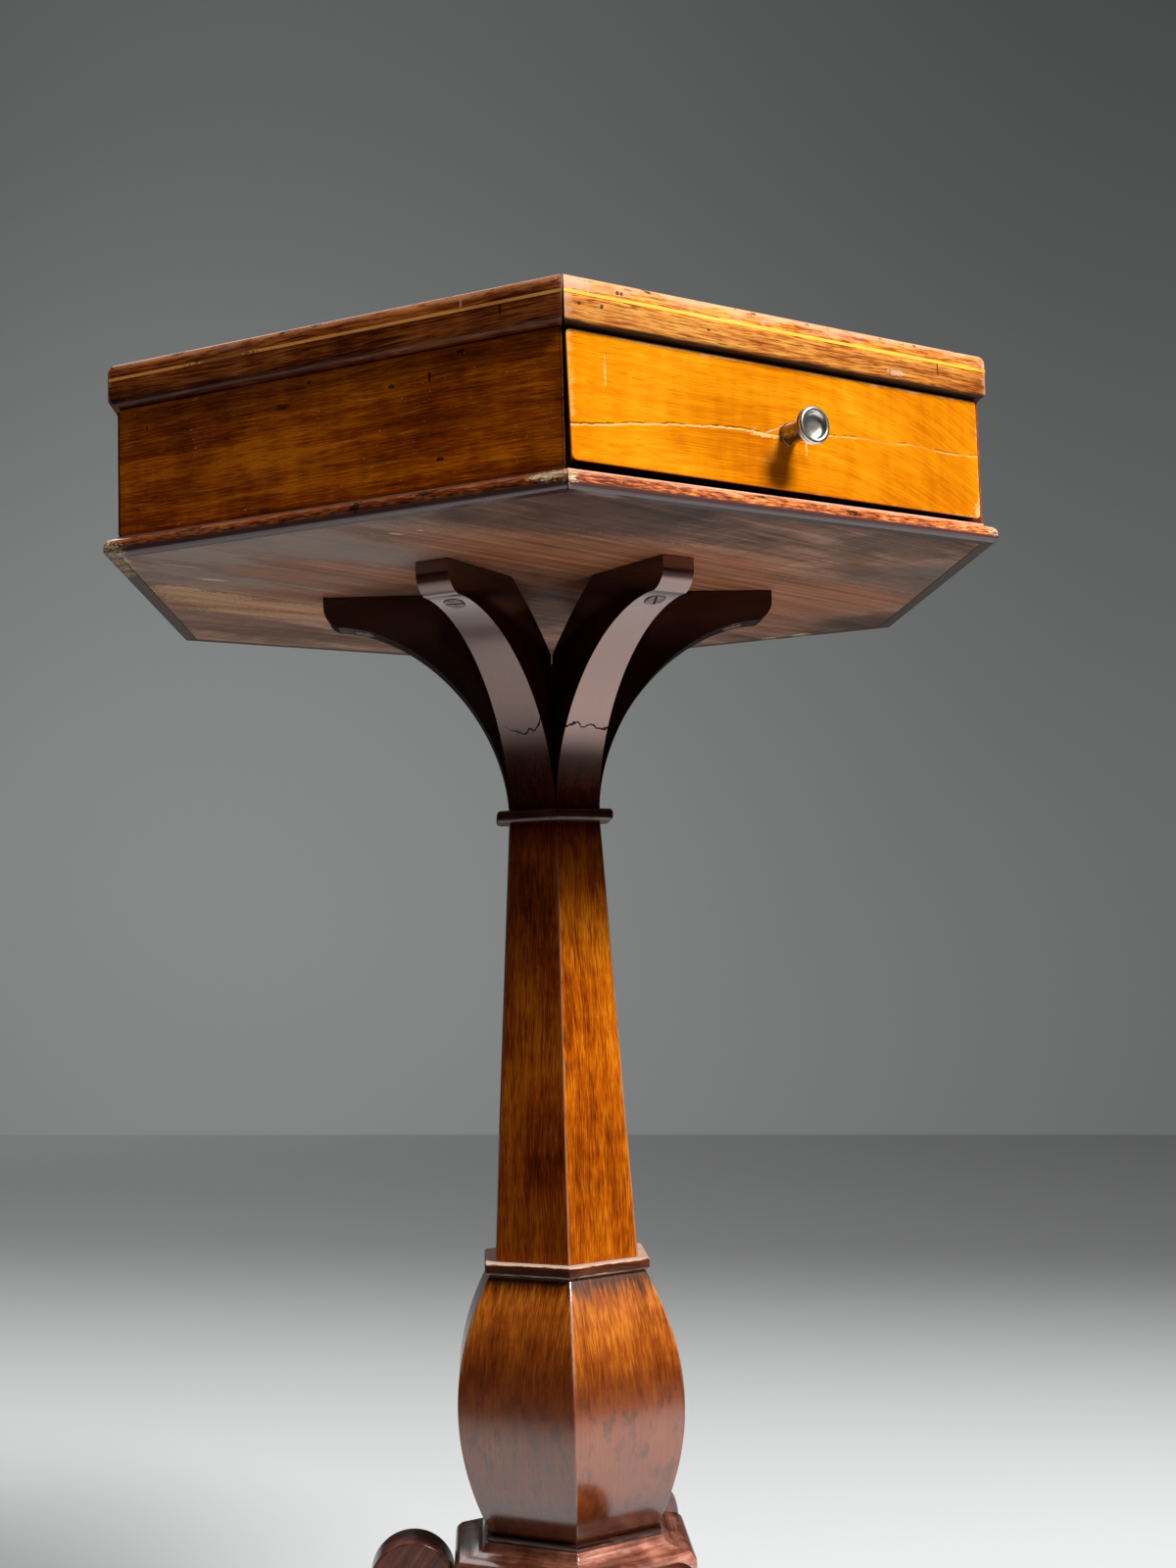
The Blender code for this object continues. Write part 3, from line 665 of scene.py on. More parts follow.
# splintered wood along the left and right back edges of the bottom
splinters = underSpots(0.006, [
    (-0.236, 0.003, 0.007, 0.008), (-0.23, 0.016, 0.006, 0.009), (-0.223, 0.03, 0.005, 0.009),
    (-0.216, 0.043, 0.004, 0.008), (0.207, 0.05, 0.006, 0.007), (0.197, 0.067, 0.005, 0.006),
])


def plateMarks(tree, grain, colour, rough, under=(0.11, 0.046, 0.042)):
    colour = tintBy(colour, fade(edgeSpans(tree)[2], 0.0036, 0.0026), under)
    torn = spotMask(tree, 1.4, splinters + faceSpots(plateFace, plateLow, 0.01, [
        (5, 0.112, 0.007, 0.011, 0.0035), (0, -0.118, 0.006, 0.003, 0.005),
        (0, 0.117, 0.006, 0.004, 0.003), (5, -0.118, 0.004, 0.003, 0.003),
    ]))
    pits = spotMask(tree, 1.3, faceSpots(plateFace, plateLow, 0.01, [
        (5, 0.018, 0.006, 0.003, 0.004), (5, 0.052, 0.007, 0.007, 0.0016), (5, -0.07, 0.007, 0.006, 0.0014),
        (0, -0.02, 0.007, 0.003, 0.0014), (0, 0.03, 0.005, 0.005, 0.001),
    ]))
    fibres = noiseOf(grain, (260, 1700), 3, 0.7)
    tones = [(0.07, 0.03, 0.015), (0.5, 0.34, 0.18), (0.95, 0.8, 0.5)]
    straw = toneRamp(fibres, (0.35, 0.5, 0.65), tones)
    colour = blendColour(torn, shadeBy(colour, pits, 0.2), straw)
    return colour, timesAdd(torn, 0.3, rough)


def backPlateMarks(tree, grain, colour, rough):
    return plateMarks(tree, grain, colour, rough, (0.13, 0.095, 0.078))


def underMarks(tree, grain, colour, rough):
    def broad(ragged, *rows):
        return spotMask(tree, ragged, underSpots(0.1, rows))

    # darker in a few broad patches and in clouds
    darkPatches = broad(
        0.3, (-0.1, -0.17, 0.085, 0.06), (0.23, 0.01, 0.05, 0.08), (0.13, 0.15, 0.09, 0.05),
        (0.09, -0.175, 0.05, 0.03))
    smoke = fade(noiseOf(grain, (8, 30), 5, 0.65), 0.56, 0.42)
    dim = timesAdd(darkPatches, 0.72, times(smoke, 0.6), clamp=True)
    colour = shadeBy(colour, dim, 0.3)
    # dust and a painted grey sheen lie over two patches, paler on the left where more light falls, and
    # thinner where the smoke is
    patchy = timesAdd(smoke, -0.5, 0.75)
    for spot, dustSheen in (
            ((-0.17, -0.03, 0.09, 0.11), (0.46, 0.37, 0.32)),
            ((0.16, -0.09, 0.065, 0.1), (0.24, 0.2, 0.175))):
        colour = tintBy(colour, times(broad(0.3, spot), patchy), dustSheen)
    # warm wood shows through in streaks
    glow = broad(0.6, (-0.03, -0.09, 0.14, 0.05), (0.11, -0.045, 0.11, 0.06))
    faint = broad(
        0.6, (-0.12, 0.0, 0.07, 0.04), (-0.1, 0.08, 0.1, 0.05), (0.12, 0.03, 0.08, 0.05),
        (0.0, 0.0, 0.07, 0.07))
    glow = larger(times(glow, 0.85), times(faint, 0.6))
    flame = fade(noiseOf(grain, (5, 22), 4, 0.6), 0.25, 0.6)
    streaks = toneRamp(
        noiseOf(grain, (8, 240), 4, 0.65), (0.3, 0.5, 0.7),
        [(0.2, 0.05, 0.02), (0.62, 0.21, 0.09), (0.98, 0.47, 0.24)])
    colour = blendColour(times(glow, flame), colour, streaks)
    rubbed = broad(0.4, (0.035, -0.125, 0.06, 0.035), (-0.12, 0.115, 0.09, 0.04))
    colour = shadeBy(colour, rubbed, 1.35)
    torn = spotMask(tree, 1.0, underSpots(0.01, [
        (-0.125, 0.09, 0.065, 0.012), (-0.166, 0.078, 0.034, 0.013), (-0.182, 0.066, 0.017, 0.009),
        (-0.1, 0.114, 0.07, 0.009), (-0.082, 0.085, 0.035, 0.014),
    ]))
    hairs = fade(noiseOf(grain, (6, 480), 3, 0.6), 0.46, 0.54)
    torn = times(torn, timesAdd(hairs, 0.55, 0.45))
    chips = spotMask(tree, 1.0, splinters + underSpots(0.01, [
        (-0.175, 0.037, 0.008, 0.0022), (-0.142, -0.094, 0.0035, 0.0014), (-0.136, -0.105, 0.002, 0.001),
        (-0.2, 0.012, 0.012, 0.0007),
    ]))
    colour = tintBy(colour, torn, (1.0, 0.6, 0.31))
    return tintBy(colour, chips, (0.95, 0.82, 0.5)), rough


armCrack = {"above": 0.0414, "shake": 0.02, "width": (0.0007, 0.0003), "front": (0.0, -0.012)}
neckDull = {"from": 0.0459, "to": 0.0089, "share": 0.85}  # heights above the arm's foot


def armMarks(tree, grain, colour, rough):
    place = objectPlace(tree)
    _, out, height = splitOf(place)
    above = minus(height, armLow)
    shake = shakeOf(place, (75, 75, 20), 3, 0.55)
    gap = timesAdd(shake, armCrack["shake"], minus(above, armCrack["above"]))
    crack = fade(work("ABSOLUTE", gap), *armCrack["width"])
    crack = times(crack, fade(out, *armCrack["front"]))
    # painted shade and painted reflection: the tone dulls the sawn sides and makes the front arm shinier,
    # and the neck in the table's shadow is dulled
    tone = attributeOf(tree, "tone", "Fac")
    dull = times(fade(above, neckDull["from"], neckDull["to"]), neckDull["share"])
    shine = times(work("ADD", tone, 1.0), minus(1.0, dull))
    shine = times(shine, timesAdd(crack, -0.95, 1.0))
    feedShader(tree, {"Coat Weight": work("MINIMUM", shine, 1.0), "Specular IOR Level": times(shine, 0.5)})
    return shadeBy(colour, crack, 0.1), timesAdd(crack, 0.5, rough)


def bulbMarks(tree, grain, colour, rough):
    low, high = edgeSpans(tree)[2:]
    # painted shadow under the lower collar
    reach = timesAdd(shakeOf(grain, (30, 320), 4, 0.65), 0.03, high)
    colour = shadeBy(colour, fade(reach, 0.013, 0.002), 0.2)
    # painted shade: below the waist the grain is blended into one darker tone, where the bulb turns down
    # from the light
    dull = times(fade(low, 0.085, 0.06), 0.7)
    colour = tintBy(colour, dull, (0.3, 0.064, 0.013))
    blotches = fade(noiseOf(grain, (70, 140), 4, 0.65), 0.48, 0.64)
    colour = shadeBy(colour, times(blotches, dull), 0.35)
    # painted shade at the foot, above the fillet
    return shadeBy(colour, fade(low, 0.026, 0.004), 0.3), rough


# each wood's dark, middle and pale tone, its marks, and what sets it apart from plain wood
woods = {
    "topVeneer": dict(tones=[(0.11, 0.026, 0.005), (0.25, 0.068, 0.013), (0.44, 0.15, 0.03)]),
    "edgeWood": dict(
        tones=[(0.06, 0.008, 0.001), (0.25, 0.048, 0.007), (0.6, 0.16, 0.028)], marks=slabMarks,
        worn=(0.002, 0.003, 0, 0.0055), wornColour=(0.5, 0.22, 0.1), wornShare=0.6,
        fibre=(60, 1300), fibreShare=1.6, pores=(90, 2200), poreShare=0.8,
        coat=0.45, coatRough=0.12, coatIor=1.5),
    # the drawer side's strip: worn, and painted lighter as the side that the key light falls on
    "wornLitEdge": dict(
        tones=[(0.3, 0.066, 0.008), (0.78, 0.24, 0.028), (0.97, 0.44, 0.08)], marks=wornSlabMarks,
        worn=(0.006, 0.003, 0, 0.006), wornColour=(0.78, 0.43, 0.25),
        fibre=(70, 1300), fibreShare=2.2, pores=(110, 1800), poreShare=1.0, cloudShare=1.1,
        coat=0.12, coatRough=0.2, rough=0.5),
    "paleInlay": dict(
        tones=[(0.62, 0.23, 0.05), (0.96, 0.38, 0.09), (0.99, 0.5, 0.15)], marks=inlayMarks,
        coat=0.15, coatRough=0.15),
    # a painted lit copy of the inlay, for the drawer's side
    "litInlay": dict(
        tones=[(0.7, 0.36, 0.03), (0.93, 0.58, 0.06), (0.98, 0.72, 0.14)], marks=inlayMarks,
        coat=0.2, coatRough=0.15),
    "boxVeneer": dict(
        tones=[(0.13, 0.018, 0.0002), (0.38, 0.07, 0.0005), (0.72, 0.18, 0.003)], marks=panelMarks,
        worn=(0.0014, 0, 0, 0), wornColour=(0.3, 0.06, 0.025),
        bands=(5, 220), bandShare=0.8, cross=(120, 40), crossShare=0.35, cloud=(16, 26), cloudShare=1.1,
        fibre=(70, 1400), fibreShare=1.1, poreShare=0.7, coat=0.5, sheen=0.03),
    "drawerVeneer": dict(
        tones=[(0.5, 0.118, 0.001), (0.78, 0.245, 0.0025), (0.98, 0.39, 0.012)], marks=drawerMarks,
        worn=(0.0046, 0.0024, 0.0012, 0.0016), wornColour=(0.9, 0.52, 0.28),
        bands=(6, 340), bandShare=0.4, fibre=(70, 2000), fibreShare=0.7, cloud=(9, 14), cloudShare=1.2,
        cross=(140, 30), pores=(120, 1700), coat=0.35, sheen=0.0),
    "plateEdge": dict(
        tones=[(0.1, 0.016, 0.004), (0.4, 0.095, 0.022), (0.8, 0.28, 0.09)], marks=plateMarks,
        worn=(0.004, 0.004, 0, 0.0034), wornColour=(0.6, 0.32, 0.21),
        fibre=(170, 1300), fibreShare=1.9, pores=(200, 1800), poreShare=0.9, coatRough=0.12),
    "backPlateEdge": dict(
        tones=[(0.08, 0.013, 0.004), (0.3, 0.075, 0.02), (0.6, 0.2, 0.07)], marks=backPlateMarks,
        worn=(0.004, 0.004, 0, 0.0034), wornColour=(0.6, 0.3, 0.2), coat=0.2),
    "undersideWood": dict(
        tones=[(0.13, 0.056, 0.034), (0.54, 0.28, 0.18), (0.98, 0.62, 0.45)], marks=underMarks,
        bands=(4, 45), bandShare=0.8, fibre=(22, 600), cloud=(10, 16), cloudShare=1.0,
        rough=0.5, sheen=0.18, coat=0.0),
    "liningWood": dict(
        tones=[(0.26, 0.16, 0.09), (0.42, 0.28, 0.16), (0.58, 0.42, 0.26)], coat=0.0, rough=0.6),
    "darkPolish": dict(
        tones=[(0.016, 0.002, 0.0006), (0.042, 0.006, 0.0018), (0.09, 0.016, 0.005)], marks=armMarks,
        coatIor=1.52, coatRough=0.11, ior=2.2, tint=(1, 0.63, 0.54), rough=0.15, relief=0.03),
    "collarWood": dict(
        tones=[(0.02, 0.004, 0.0014), (0.07, 0.016, 0.005), (0.19, 0.05, 0.017)],
        worn=(0, 0, 0.001, 0.0011), wornColour=(0.8, 0.55, 0.4), wornShare=0.8, coat=0.5, coatRough=0.12),
    "darkCollar": dict(
        tones=[(0.012, 0.002, 0.001), (0.036, 0.008, 0.004), (0.1, 0.026, 0.013)],
        worn=(0, 0, 0.001, 0), wornColour=(0.4, 0.26, 0.2), coat=0.45, coatRough=0.14),
    "shaftVeneer": dict(
        tones=[(0.18, 0.024, 0.0004), (0.5, 0.1, 0.0014), (0.88, 0.25, 0.007)],
        worn=(0.0011, 0.0011, 0, 0), wornColour=(0.5, 0.25, 0.14), coatIor=1.6, sheen=0.03,
        bands=(9, 200), bandShare=0.65, fibre=(90, 1500), fibreShare=1.35, cloud=(18, 36), cloudShare=1.2,
        pores=(60, 1900), poreShare=0.7),
    "bulbVeneer": dict(
        tones=[(0.17, 0.025, 0.002), (0.42, 0.09, 0.005), (0.82, 0.25, 0.016)], marks=bulbMarks,
        stops=(0.15, 0.5, 0.85), worn=(0.0012, 0.0012, 0, 0), wornColour=(0.6, 0.32, 0.2),
        coat=0.9, coatIor=1.95, coatRough=0.15, sheen=0.3, rough=0.3, relief=0.05,
        bands=(14, 400), bandShare=0.6, fibre=(90, 1500), fibreShare=1.1, cloud=(30, 60), cloudShare=1.0),
    "plinthWood": dict(
        tones=[(0.07, 0.018, 0.01), (0.2, 0.058, 0.032), (0.4, 0.16, 0.1)],
        coatIor=1.6, coatRough=0.2, sheen=0.4, rough=0.35, relief=0.1, cloud=(60, 80), cloudShare=1.4),
    "legPolish": dict(
        tones=[(0.04, 0.009, 0.005), (0.11, 0.029, 0.016), (0.25, 0.08, 0.045)],
        coat=0.6, coatRough=0.12, coatIor=1.5, cloud=(60, 80)),
}
finishes = {name: woodFinish(name, **look) for name, look in woods.items()}
finishes["knobMetal"] = metalFinish("knobMetal", (0.78, 0.74, 0.66), (0.36, 0.31, 0.26), 0.32, knobMarks)
finishes["screwSteel"] = metalFinish("screwSteel", (0.24, 0.17, 0.14), (0.12, 0.08, 0.065), 0.4)
print("finishes:", len(finishes))

# top: a veneered board in six mitred strips, with an inlaid line round the edge
topEdge = {
    "upperRound": 0.0045, "lowerRound": 0.0043, "frontLowerRound": 0.0022, "roundSteps": 7, "arris": 0.0002,
    "mitreGap": 0.00045, "cuts": 79, "inlayProud": 0.0001, "boardArris": 0.0004,
    "frontTopTone": -0.65, "inlayTones": (0, 0, 0, 0, 0, 0.05),
}


def makeStrip(lowerRound):
    low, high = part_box("top_edge_1")
    strip = addBlock(low, high)
    openMesh(strip)
    pickEdges(strip, lambda a, b: alongX(a, b) and a.y < low.y + hair and a.z > high.z - hair)
    roundEdges(topEdge["upperRound"], topEdge["roundSteps"])
    pickEdges(strip, lambda a, b: alongX(a, b) and a.y < low.y + hair and a.z < low.z + hair)
    roundEdges(lowerRound, topEdge["roundSteps"])
    closeMesh()
    mitreStrip(strip, topEdge)
    easeEdges(strip, topEdge["arris"], 2)
    return strip


def makeTop():
    frontStrip, strip = makeStrip(topEdge["frontLowerRound"]), makeStrip(topEdge["lowerRound"])
    lineLow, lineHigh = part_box("top_stringing_1")
    line = addBlock((lineLow.x, lineLow.y - topEdge["inlayProud"], lineLow.z), lineHigh)
    mitreStrip(line, topEdge)
    for index in range(6):
        number = index + 1
        twin = copyToFace(strip if index else frontStrip, index)
        markHex(twin, topFrom=topFace - topEdge["upperRound"])
        if index == 0:  # its finish is painted lighter, so its flat top is darkened to match the other strips
            toneFaces(twin, topEdge["frontTopTone"], lambda face: face.normal.z > 0.95)
        finish = "edgeWood" if index else "wornLitEdge"  # the drawer's side is the most handled, and its finish is also painted lighter where the key light falls
        dress(twin, f"top_edge_{number}", finish)
        inlay = copyToFace(line, index)
        markHex(inlay, topEdge["inlayTones"])
        # the drawer's side takes the painted lit copy of the inlay
        finish = "paleInlay" if index else "litInlay"
        dress(inlay, f"top_stringing_{number}", finish, name=f"stringing{number}")
    discard(strip, frontStrip, line)
    board = hexBoard("top_board", topEdge["boardArris"])
    markBoard(board, (1, 0, 0), (0, 1, 0))
    dress(board, "top_board", "topVeneer")


makeTop()
print("top done")

# box: five mitred side panels
sidePanel = {"thickness": 0.012, "edgeRound": 0.0014, "cuts": 40, "mitreGap": 0.0004}


def makeBox():
    low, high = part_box("side_panel_1")
    panel = addBlock((-boxHalf, boxFront, low.z), (boxHalf, boxFront + sidePanel["thickness"], high.z))
    mitreStrip(panel, sidePanel)
    easeEdges(panel, sidePanel["edgeRound"])
    for index in range(1, 6):
        twin = copyToFace(panel, index)
        markHex(twin)
        dress(twin, f"side_panel_{index}", "boxVeneer")
    discard(panel)


makeBox()
print("box done")

# bottom board and the moulded edge round it
plateEdge = {
    "beadWidth": 0.0056, "beadDrop": 0.0011, "beadFoot": 0.0042, "lip": 0.0002, "underDepth": 0.0022,
    "underRise": 0.003, "steps": 8, "cuts": 79, "mitreGap": 0.0002, "tones": (0.5, 0, 0, 0, 0, -0.52),
    "boardArris": 0.0003, "boardGrain": (0.974, 0.225),
}


def plateOutline(low, high, inner):
    out, steps = plateFace, plateEdge["steps"]
    crest = out - plateEdge["beadWidth"]
    bead = sweepPoints((crest, high - plateEdge["beadDrop"]), (out, low + plateEdge["beadFoot"]), steps)
    under = sweepPoints((out - plateEdge["underDepth"], low), (out, low + plateEdge["underRise"]), steps)
    return [(inner, low)] + under + bead[::-1] + [(crest - plateEdge["lip"], high), (inner, high)]


def makeBottom():
    low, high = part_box("bottom_edge_1")
    strip = outlineBoard(plateOutline(low.z, high.z, axis.y - high.y), plateFace * mitreTan)
    mitreStrip(strip, plateEdge)
    for index in range(6):
        twin = copyToFace(strip, index)
        # the tones paint light onto the drawer's side and shade onto the left side
        markHex(twin, plateEdge["tones"])
        finish = "plateEdge" if index in (0, 5) else "backPlateEdge"
        dress(twin, f"bottom_edge_{index + 1}", finish, name=f"plateEdge{index + 1}")
    discard(strip)
    board = hexBoard("bottom_board", plateEdge["boardArris"])
    right, back = plateEdge["boardGrain"]
    markBoard(board, (right, back, 0), (-back, right, 0))
    dress(board, "bottom_board", "undersideWood")


makeBottom()
print("bottom done")

# drawer: a figured front, and plain linings eased from the frame's own shapes
drawerFront = {
    "spare": 0.01, "endPlay": 0.0009, "gapLeft": 0.0034, "gapRight": 0.0018, "leftLean": 0.0015,
    "cornerRound": 0.0024, "cornerSteps": 5, "edgeRound": 0.0011, "edgeSteps": 4, "slices": 60,
    "grainBend": 2.2, "bendFrom": -0.01, "underShade": -0.98,
}
liningNodes = {
    "drawer": ["drawer_side_left", "drawer_side_right", "drawer_back", "drawer_bottom"],
    "table": [
        "drawer_runner_left", "drawer_runner_right", "drawer_guide_left", "drawer_guide_right",
        "drawer_stop"],
}
lining = {"arris": 0.0006, "grainStep": 0.7}


def easedCopy(node, width):
    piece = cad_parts[node].copy()
    piece.data = piece.data.copy()
    piece.parent = None
    for key in list(piece.keys()):
        del piece[key]
    bpy.context.collection.objects.link(piece)
    openMesh(piece)
    bpy.ops.mesh.remove_doubles(threshold=hair)
    bpy.ops.mesh.dissolve_limited(angle_limit=math.radians(1))
    closeMesh()
    easeEdges(piece, width, 2)
    return piece


def bentGrain(across):
    return drawerFront["grainBend"] * max(0.0, across - drawerFront["bendFrom"]) ** 2


def makeDrawer():
    low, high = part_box("drawer_front")
    spare, slices = drawerFront["spare"], drawerFront["slices"]
    front = addBlock((low.x - spare, low.y, boxLow), (high.x + spare, high.y, high.z))
    gapLeft, gapRight = drawerFront["gapLeft"], drawerFront["gapRight"]
    for vert in front.data.vertices:
        if vert.co.z < (low.z + high.z) / 2:
            vert.co.z += gapLeft + (gapRight - gapLeft) * (vert.co.x + boxHalf) / (2 * boxHalf)
    openMesh(front)
    cutMitres(drawerFront["endPlay"] * faceShare)
    closeMesh()
    for vert in front.data.vertices:
        if vert.co.x < 0:
            vert.co.x += drawerFront["leftLean"] * (high.z - vert.co.z) / (high.z - low.z)
    openMesh(front)
    pickEdges(front, lambda a, b: abs(a.y - b.y) > 0.8 * (a - b).length)
    roundEdges(drawerFront["cornerRound"], drawerFront["cornerSteps"])
    pickEdges(front, lambda a, b: max(a.y, b.y) < low.y + hair)
    roundEdges(drawerFront["edgeRound"], drawerFront["edgeSteps"])
    for i in range(1, slices):  # slices follow the bend of the grain
        sliceAt((boxHalf * (2 * i / slices - 1), 0, 0), (1, 0, 0), keepAll=True)
    closeMesh()
    markHex(front, sway=bentGrain)
    # painted shade: the underside has no polish and is darkened nearly to black
    toneFaces(front, drawerFront["underShade"], lambda face: face.normal.z < -0.7)
    dress(front, "drawer_front", "drawerVeneer", "drawer")
    for body, nodes in liningNodes.items():
        for number, node in enumerate(nodes):
            piece = easedCopy(node, lining["arris"])
            size = piece.dimensions
            along = (1, 0, 0) if size.x > size.y else (0, 1, 0)
            markBoard(piece, along, (0, 0, 1), number * lining["grainStep"])
            dress(piece, node, "liningWood", body)


makeDrawer()
print("drawer done")

# knob: a turned stem, a grooved double rim and a dished face, each as radius and distance from the drawer
knob = {
    "stem": [
        (0.005, 0.0003), (0.0052, 0.0006), (0.0051, 0.001), (0.0047, 0.0014), (0.0046, 0.006),
        (0.0047, 0.011), (0.0052, 0.0131)],
    "rim": [
        (0.0066, 0.0143), (0.0078, 0.0149), (0.0082, 0.0156), (0.0078, 0.0163), (0.0077, 0.0166),
        (0.0083, 0.0171), (0.0084, 0.0177), (0.0081, 0.0183), (0.0074, 0.01865)],
    "dish": [
        (0.0066, 0.0185), (0.0061, 0.0182), (0.0057, 0.0172), (0.0048, 0.0165), (0.003, 0.0162),
        (0.0012, 0.0161)],
    "sides": 64, "smoothAngle": 50, "screwArris": 0.0002,
}


def makeKnob():
    low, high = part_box("knob")
    piece = stackRings(knob["sides"], knob["stem"] + knob["rim"] + knob["dish"], Vector((0, 0, 0)))
    piece.data.transform(Matrix.Rotation(math.pi / 2, 4, "X"))
    piece.data.transform(Matrix.Translation((0, boxFront, (low.z + high.z) / 2)))
    dress(piece, "knob", "knobMetal", "drawer", angle=knob["smoothAngle"])
    screw = easedCopy("knob_screw", knob["screwArris"])
    dress(screw, "knob_screw", "screwSteel", "drawer")


makeKnob()
print("knob done")

# bracket arms: sawn curves with wedge ends that meet on the column's axis, each held by a slotted screw
arm = {
    "seat": 0.056, "tipWidth": 0.0186, "nose": 0.0115, "noseDrop": 0.005, "noseTurn": -70, "noseSteps": 12,
    "outerPower": 1.8, "crownPower": 1.15, "crownDepth": 0.058, "core": 0.006, "neckCorner": 0.0268,
    "steps": 40, "wedgeGap": 0.0003, "weld": 1e-6, "edgeRound": 0.0007,
    "headSides": 40, "headRoom": 0.0003, "headSeat": 0.0008, "headProud": 0.0005, "headDrop": 0.006,
    "headRound": 0.0003, "coneShare": 0.44, "coneRise": 0.002,
    "slotWidth": 0.001, "slotDepth": 0.0011, "slotLong": 0.01, "slotHigh": 0.005,
    "slotTurns": (65, 20, 80, 40, 110, 5),  # degrees, one for each screw
    "shines": (0.47, 0, 0, 0, 0, -0.06), "sideShine": -0.65,  # painted light and shade: the front arm lighter and shinier, the sawn sides nearly black
    "grainOut": 0.6, "grainUp": 0.8, "grainStep": 0.6,
}


def armUnderside(low, high, reach):
    centre = (reach - arm["nose"], high - arm["noseDrop"])
    nose = arcPoints(centre, arm["nose"], arm["noseTurn"], 0, arm["noseSteps"])
    curve = sweepPoints(nose[0], (arm["neckCorner"] * faceShare, low), arm["steps"], arm["outerPower"])
    return curve[::-1], nose[1:]


def armOutline(low, high, reach):
    curve, nose = armUnderside(low, high, reach)
    inner = (arm["core"], high - arm["crownDepth"])
    crown = sweepPoints((reach - arm["seat"], high), inner, arm["steps"], arm["crownPower"])
    return [(reach, high)] + crown + [(arm["core"], low)] + curve + nose


def makeBracket(low, high, reach):
    neck = arm["neckCorner"] * faceShare
    halfNeck, halfTip = neck * mitreTan, arm["tipWidth"] / 2
    bracket = outlineBoard(armOutline(low.z, high.z, reach), halfNeck)
    openMesh(bracket)
    cutMitres(arm["wedgeGap"])
    for side in (-1, 1):
        taper = Vector((side * (reach - neck), halfTip - halfNeck, 0))
        sliceAt(axis + Vector((side * (halfNeck - arm["wedgeGap"]), -neck, 0)), taper.normalized())
    bpy.ops.mesh.select_all(action="SELECT")
    bpy.ops.mesh.remove_doubles(threshold=arm["weld"])
    closeMesh()
    return bracket


def slopingHead(middle, radius, floor, slope):
    # a screw head dressed level with the arm's curved underside
    rim, cone = (radius, middle.z - arm["headDrop"]), (radius * arm["coneShare"], floor + arm["coneRise"])
    head = stackRings(arm["headSides"], [rim, (radius, floor), cone], middle)
    out = Vector((0, -slope, -1)).normalized()
    openMesh(head)
    sliceAt(middle + out * arm["headProud"], out)
    closeMesh()
    easeEdges(head, arm["headRound"])
    return head, out


def makeArms():
    low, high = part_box("bracket_arm_1")
    reach = axis.y - low.y
    bracket = makeBracket(low, high, reach)
    headLow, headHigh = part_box("bracket_screw_1")
    middle = (headLow + headHigh) / 2
    radius = (headHigh.x - headLow.x) / 2
    wide, floor = radius + arm["headRoom"], headLow.z + arm["headSeat"]
    cutWith(bracket, stackRings(arm["headSides"], [(wide, low.z), (wide, floor)], middle))
    easeEdges(bracket, arm["edgeRound"])

    curve = armUnderside(low.z, high.z, reach)[0]
    span = axis.y - middle.y
    before, after = next((a, b) for a, b in zip(curve, curve[1:]) if a[0] <= span <= b[0])
    slope = (after[1] - before[1]) / (after[0] - before[0])
    middle.z = before[1] + slope * (span - before[0])
    head, out = slopingHead(middle, radius, floor, slope)
    level = Matrix.Translation(middle) @ (-out).to_track_quat("Z", "Y").to_matrix().to_4x4()
    half, long = arm["slotWidth"] / 2, arm["slotLong"]
    for index in range(6):
        side = faceAlong(index)
        twin = copyToFace(bracket, index)
        run = faceOut(index) * arm["grainOut"] + Vector((0, 0, arm["grainUp"]))
        markBoard(twin, run, side, index * arm["grainStep"])
        toneFaces(twin, arm["shines"][index], lambda face: True)
        toneFaces(twin, arm["sideShine"], lambda face: abs(face.normal.dot(side)) > 0.7)
        dress(twin, f"bracket_arm_{index + 1}", "darkPolish")
        fixing = copyToFace(head, index)
        slot = addBlock((-long, -half, -arm["slotHigh"]), (long, half, arm["slotDepth"] - arm["headProud"]))
        turn = Matrix.Rotation(math.radians(arm["slotTurns"][index]), 4, "Z")
        slot.data.transform(turnTo(index) @ level @ turn)
        cutWith(fixing, slot)
        dress(fixing, f"bracket_screw_{index + 1}", "screwSteel")
    discard(bracket, head)


makeArms()
print("arms done")

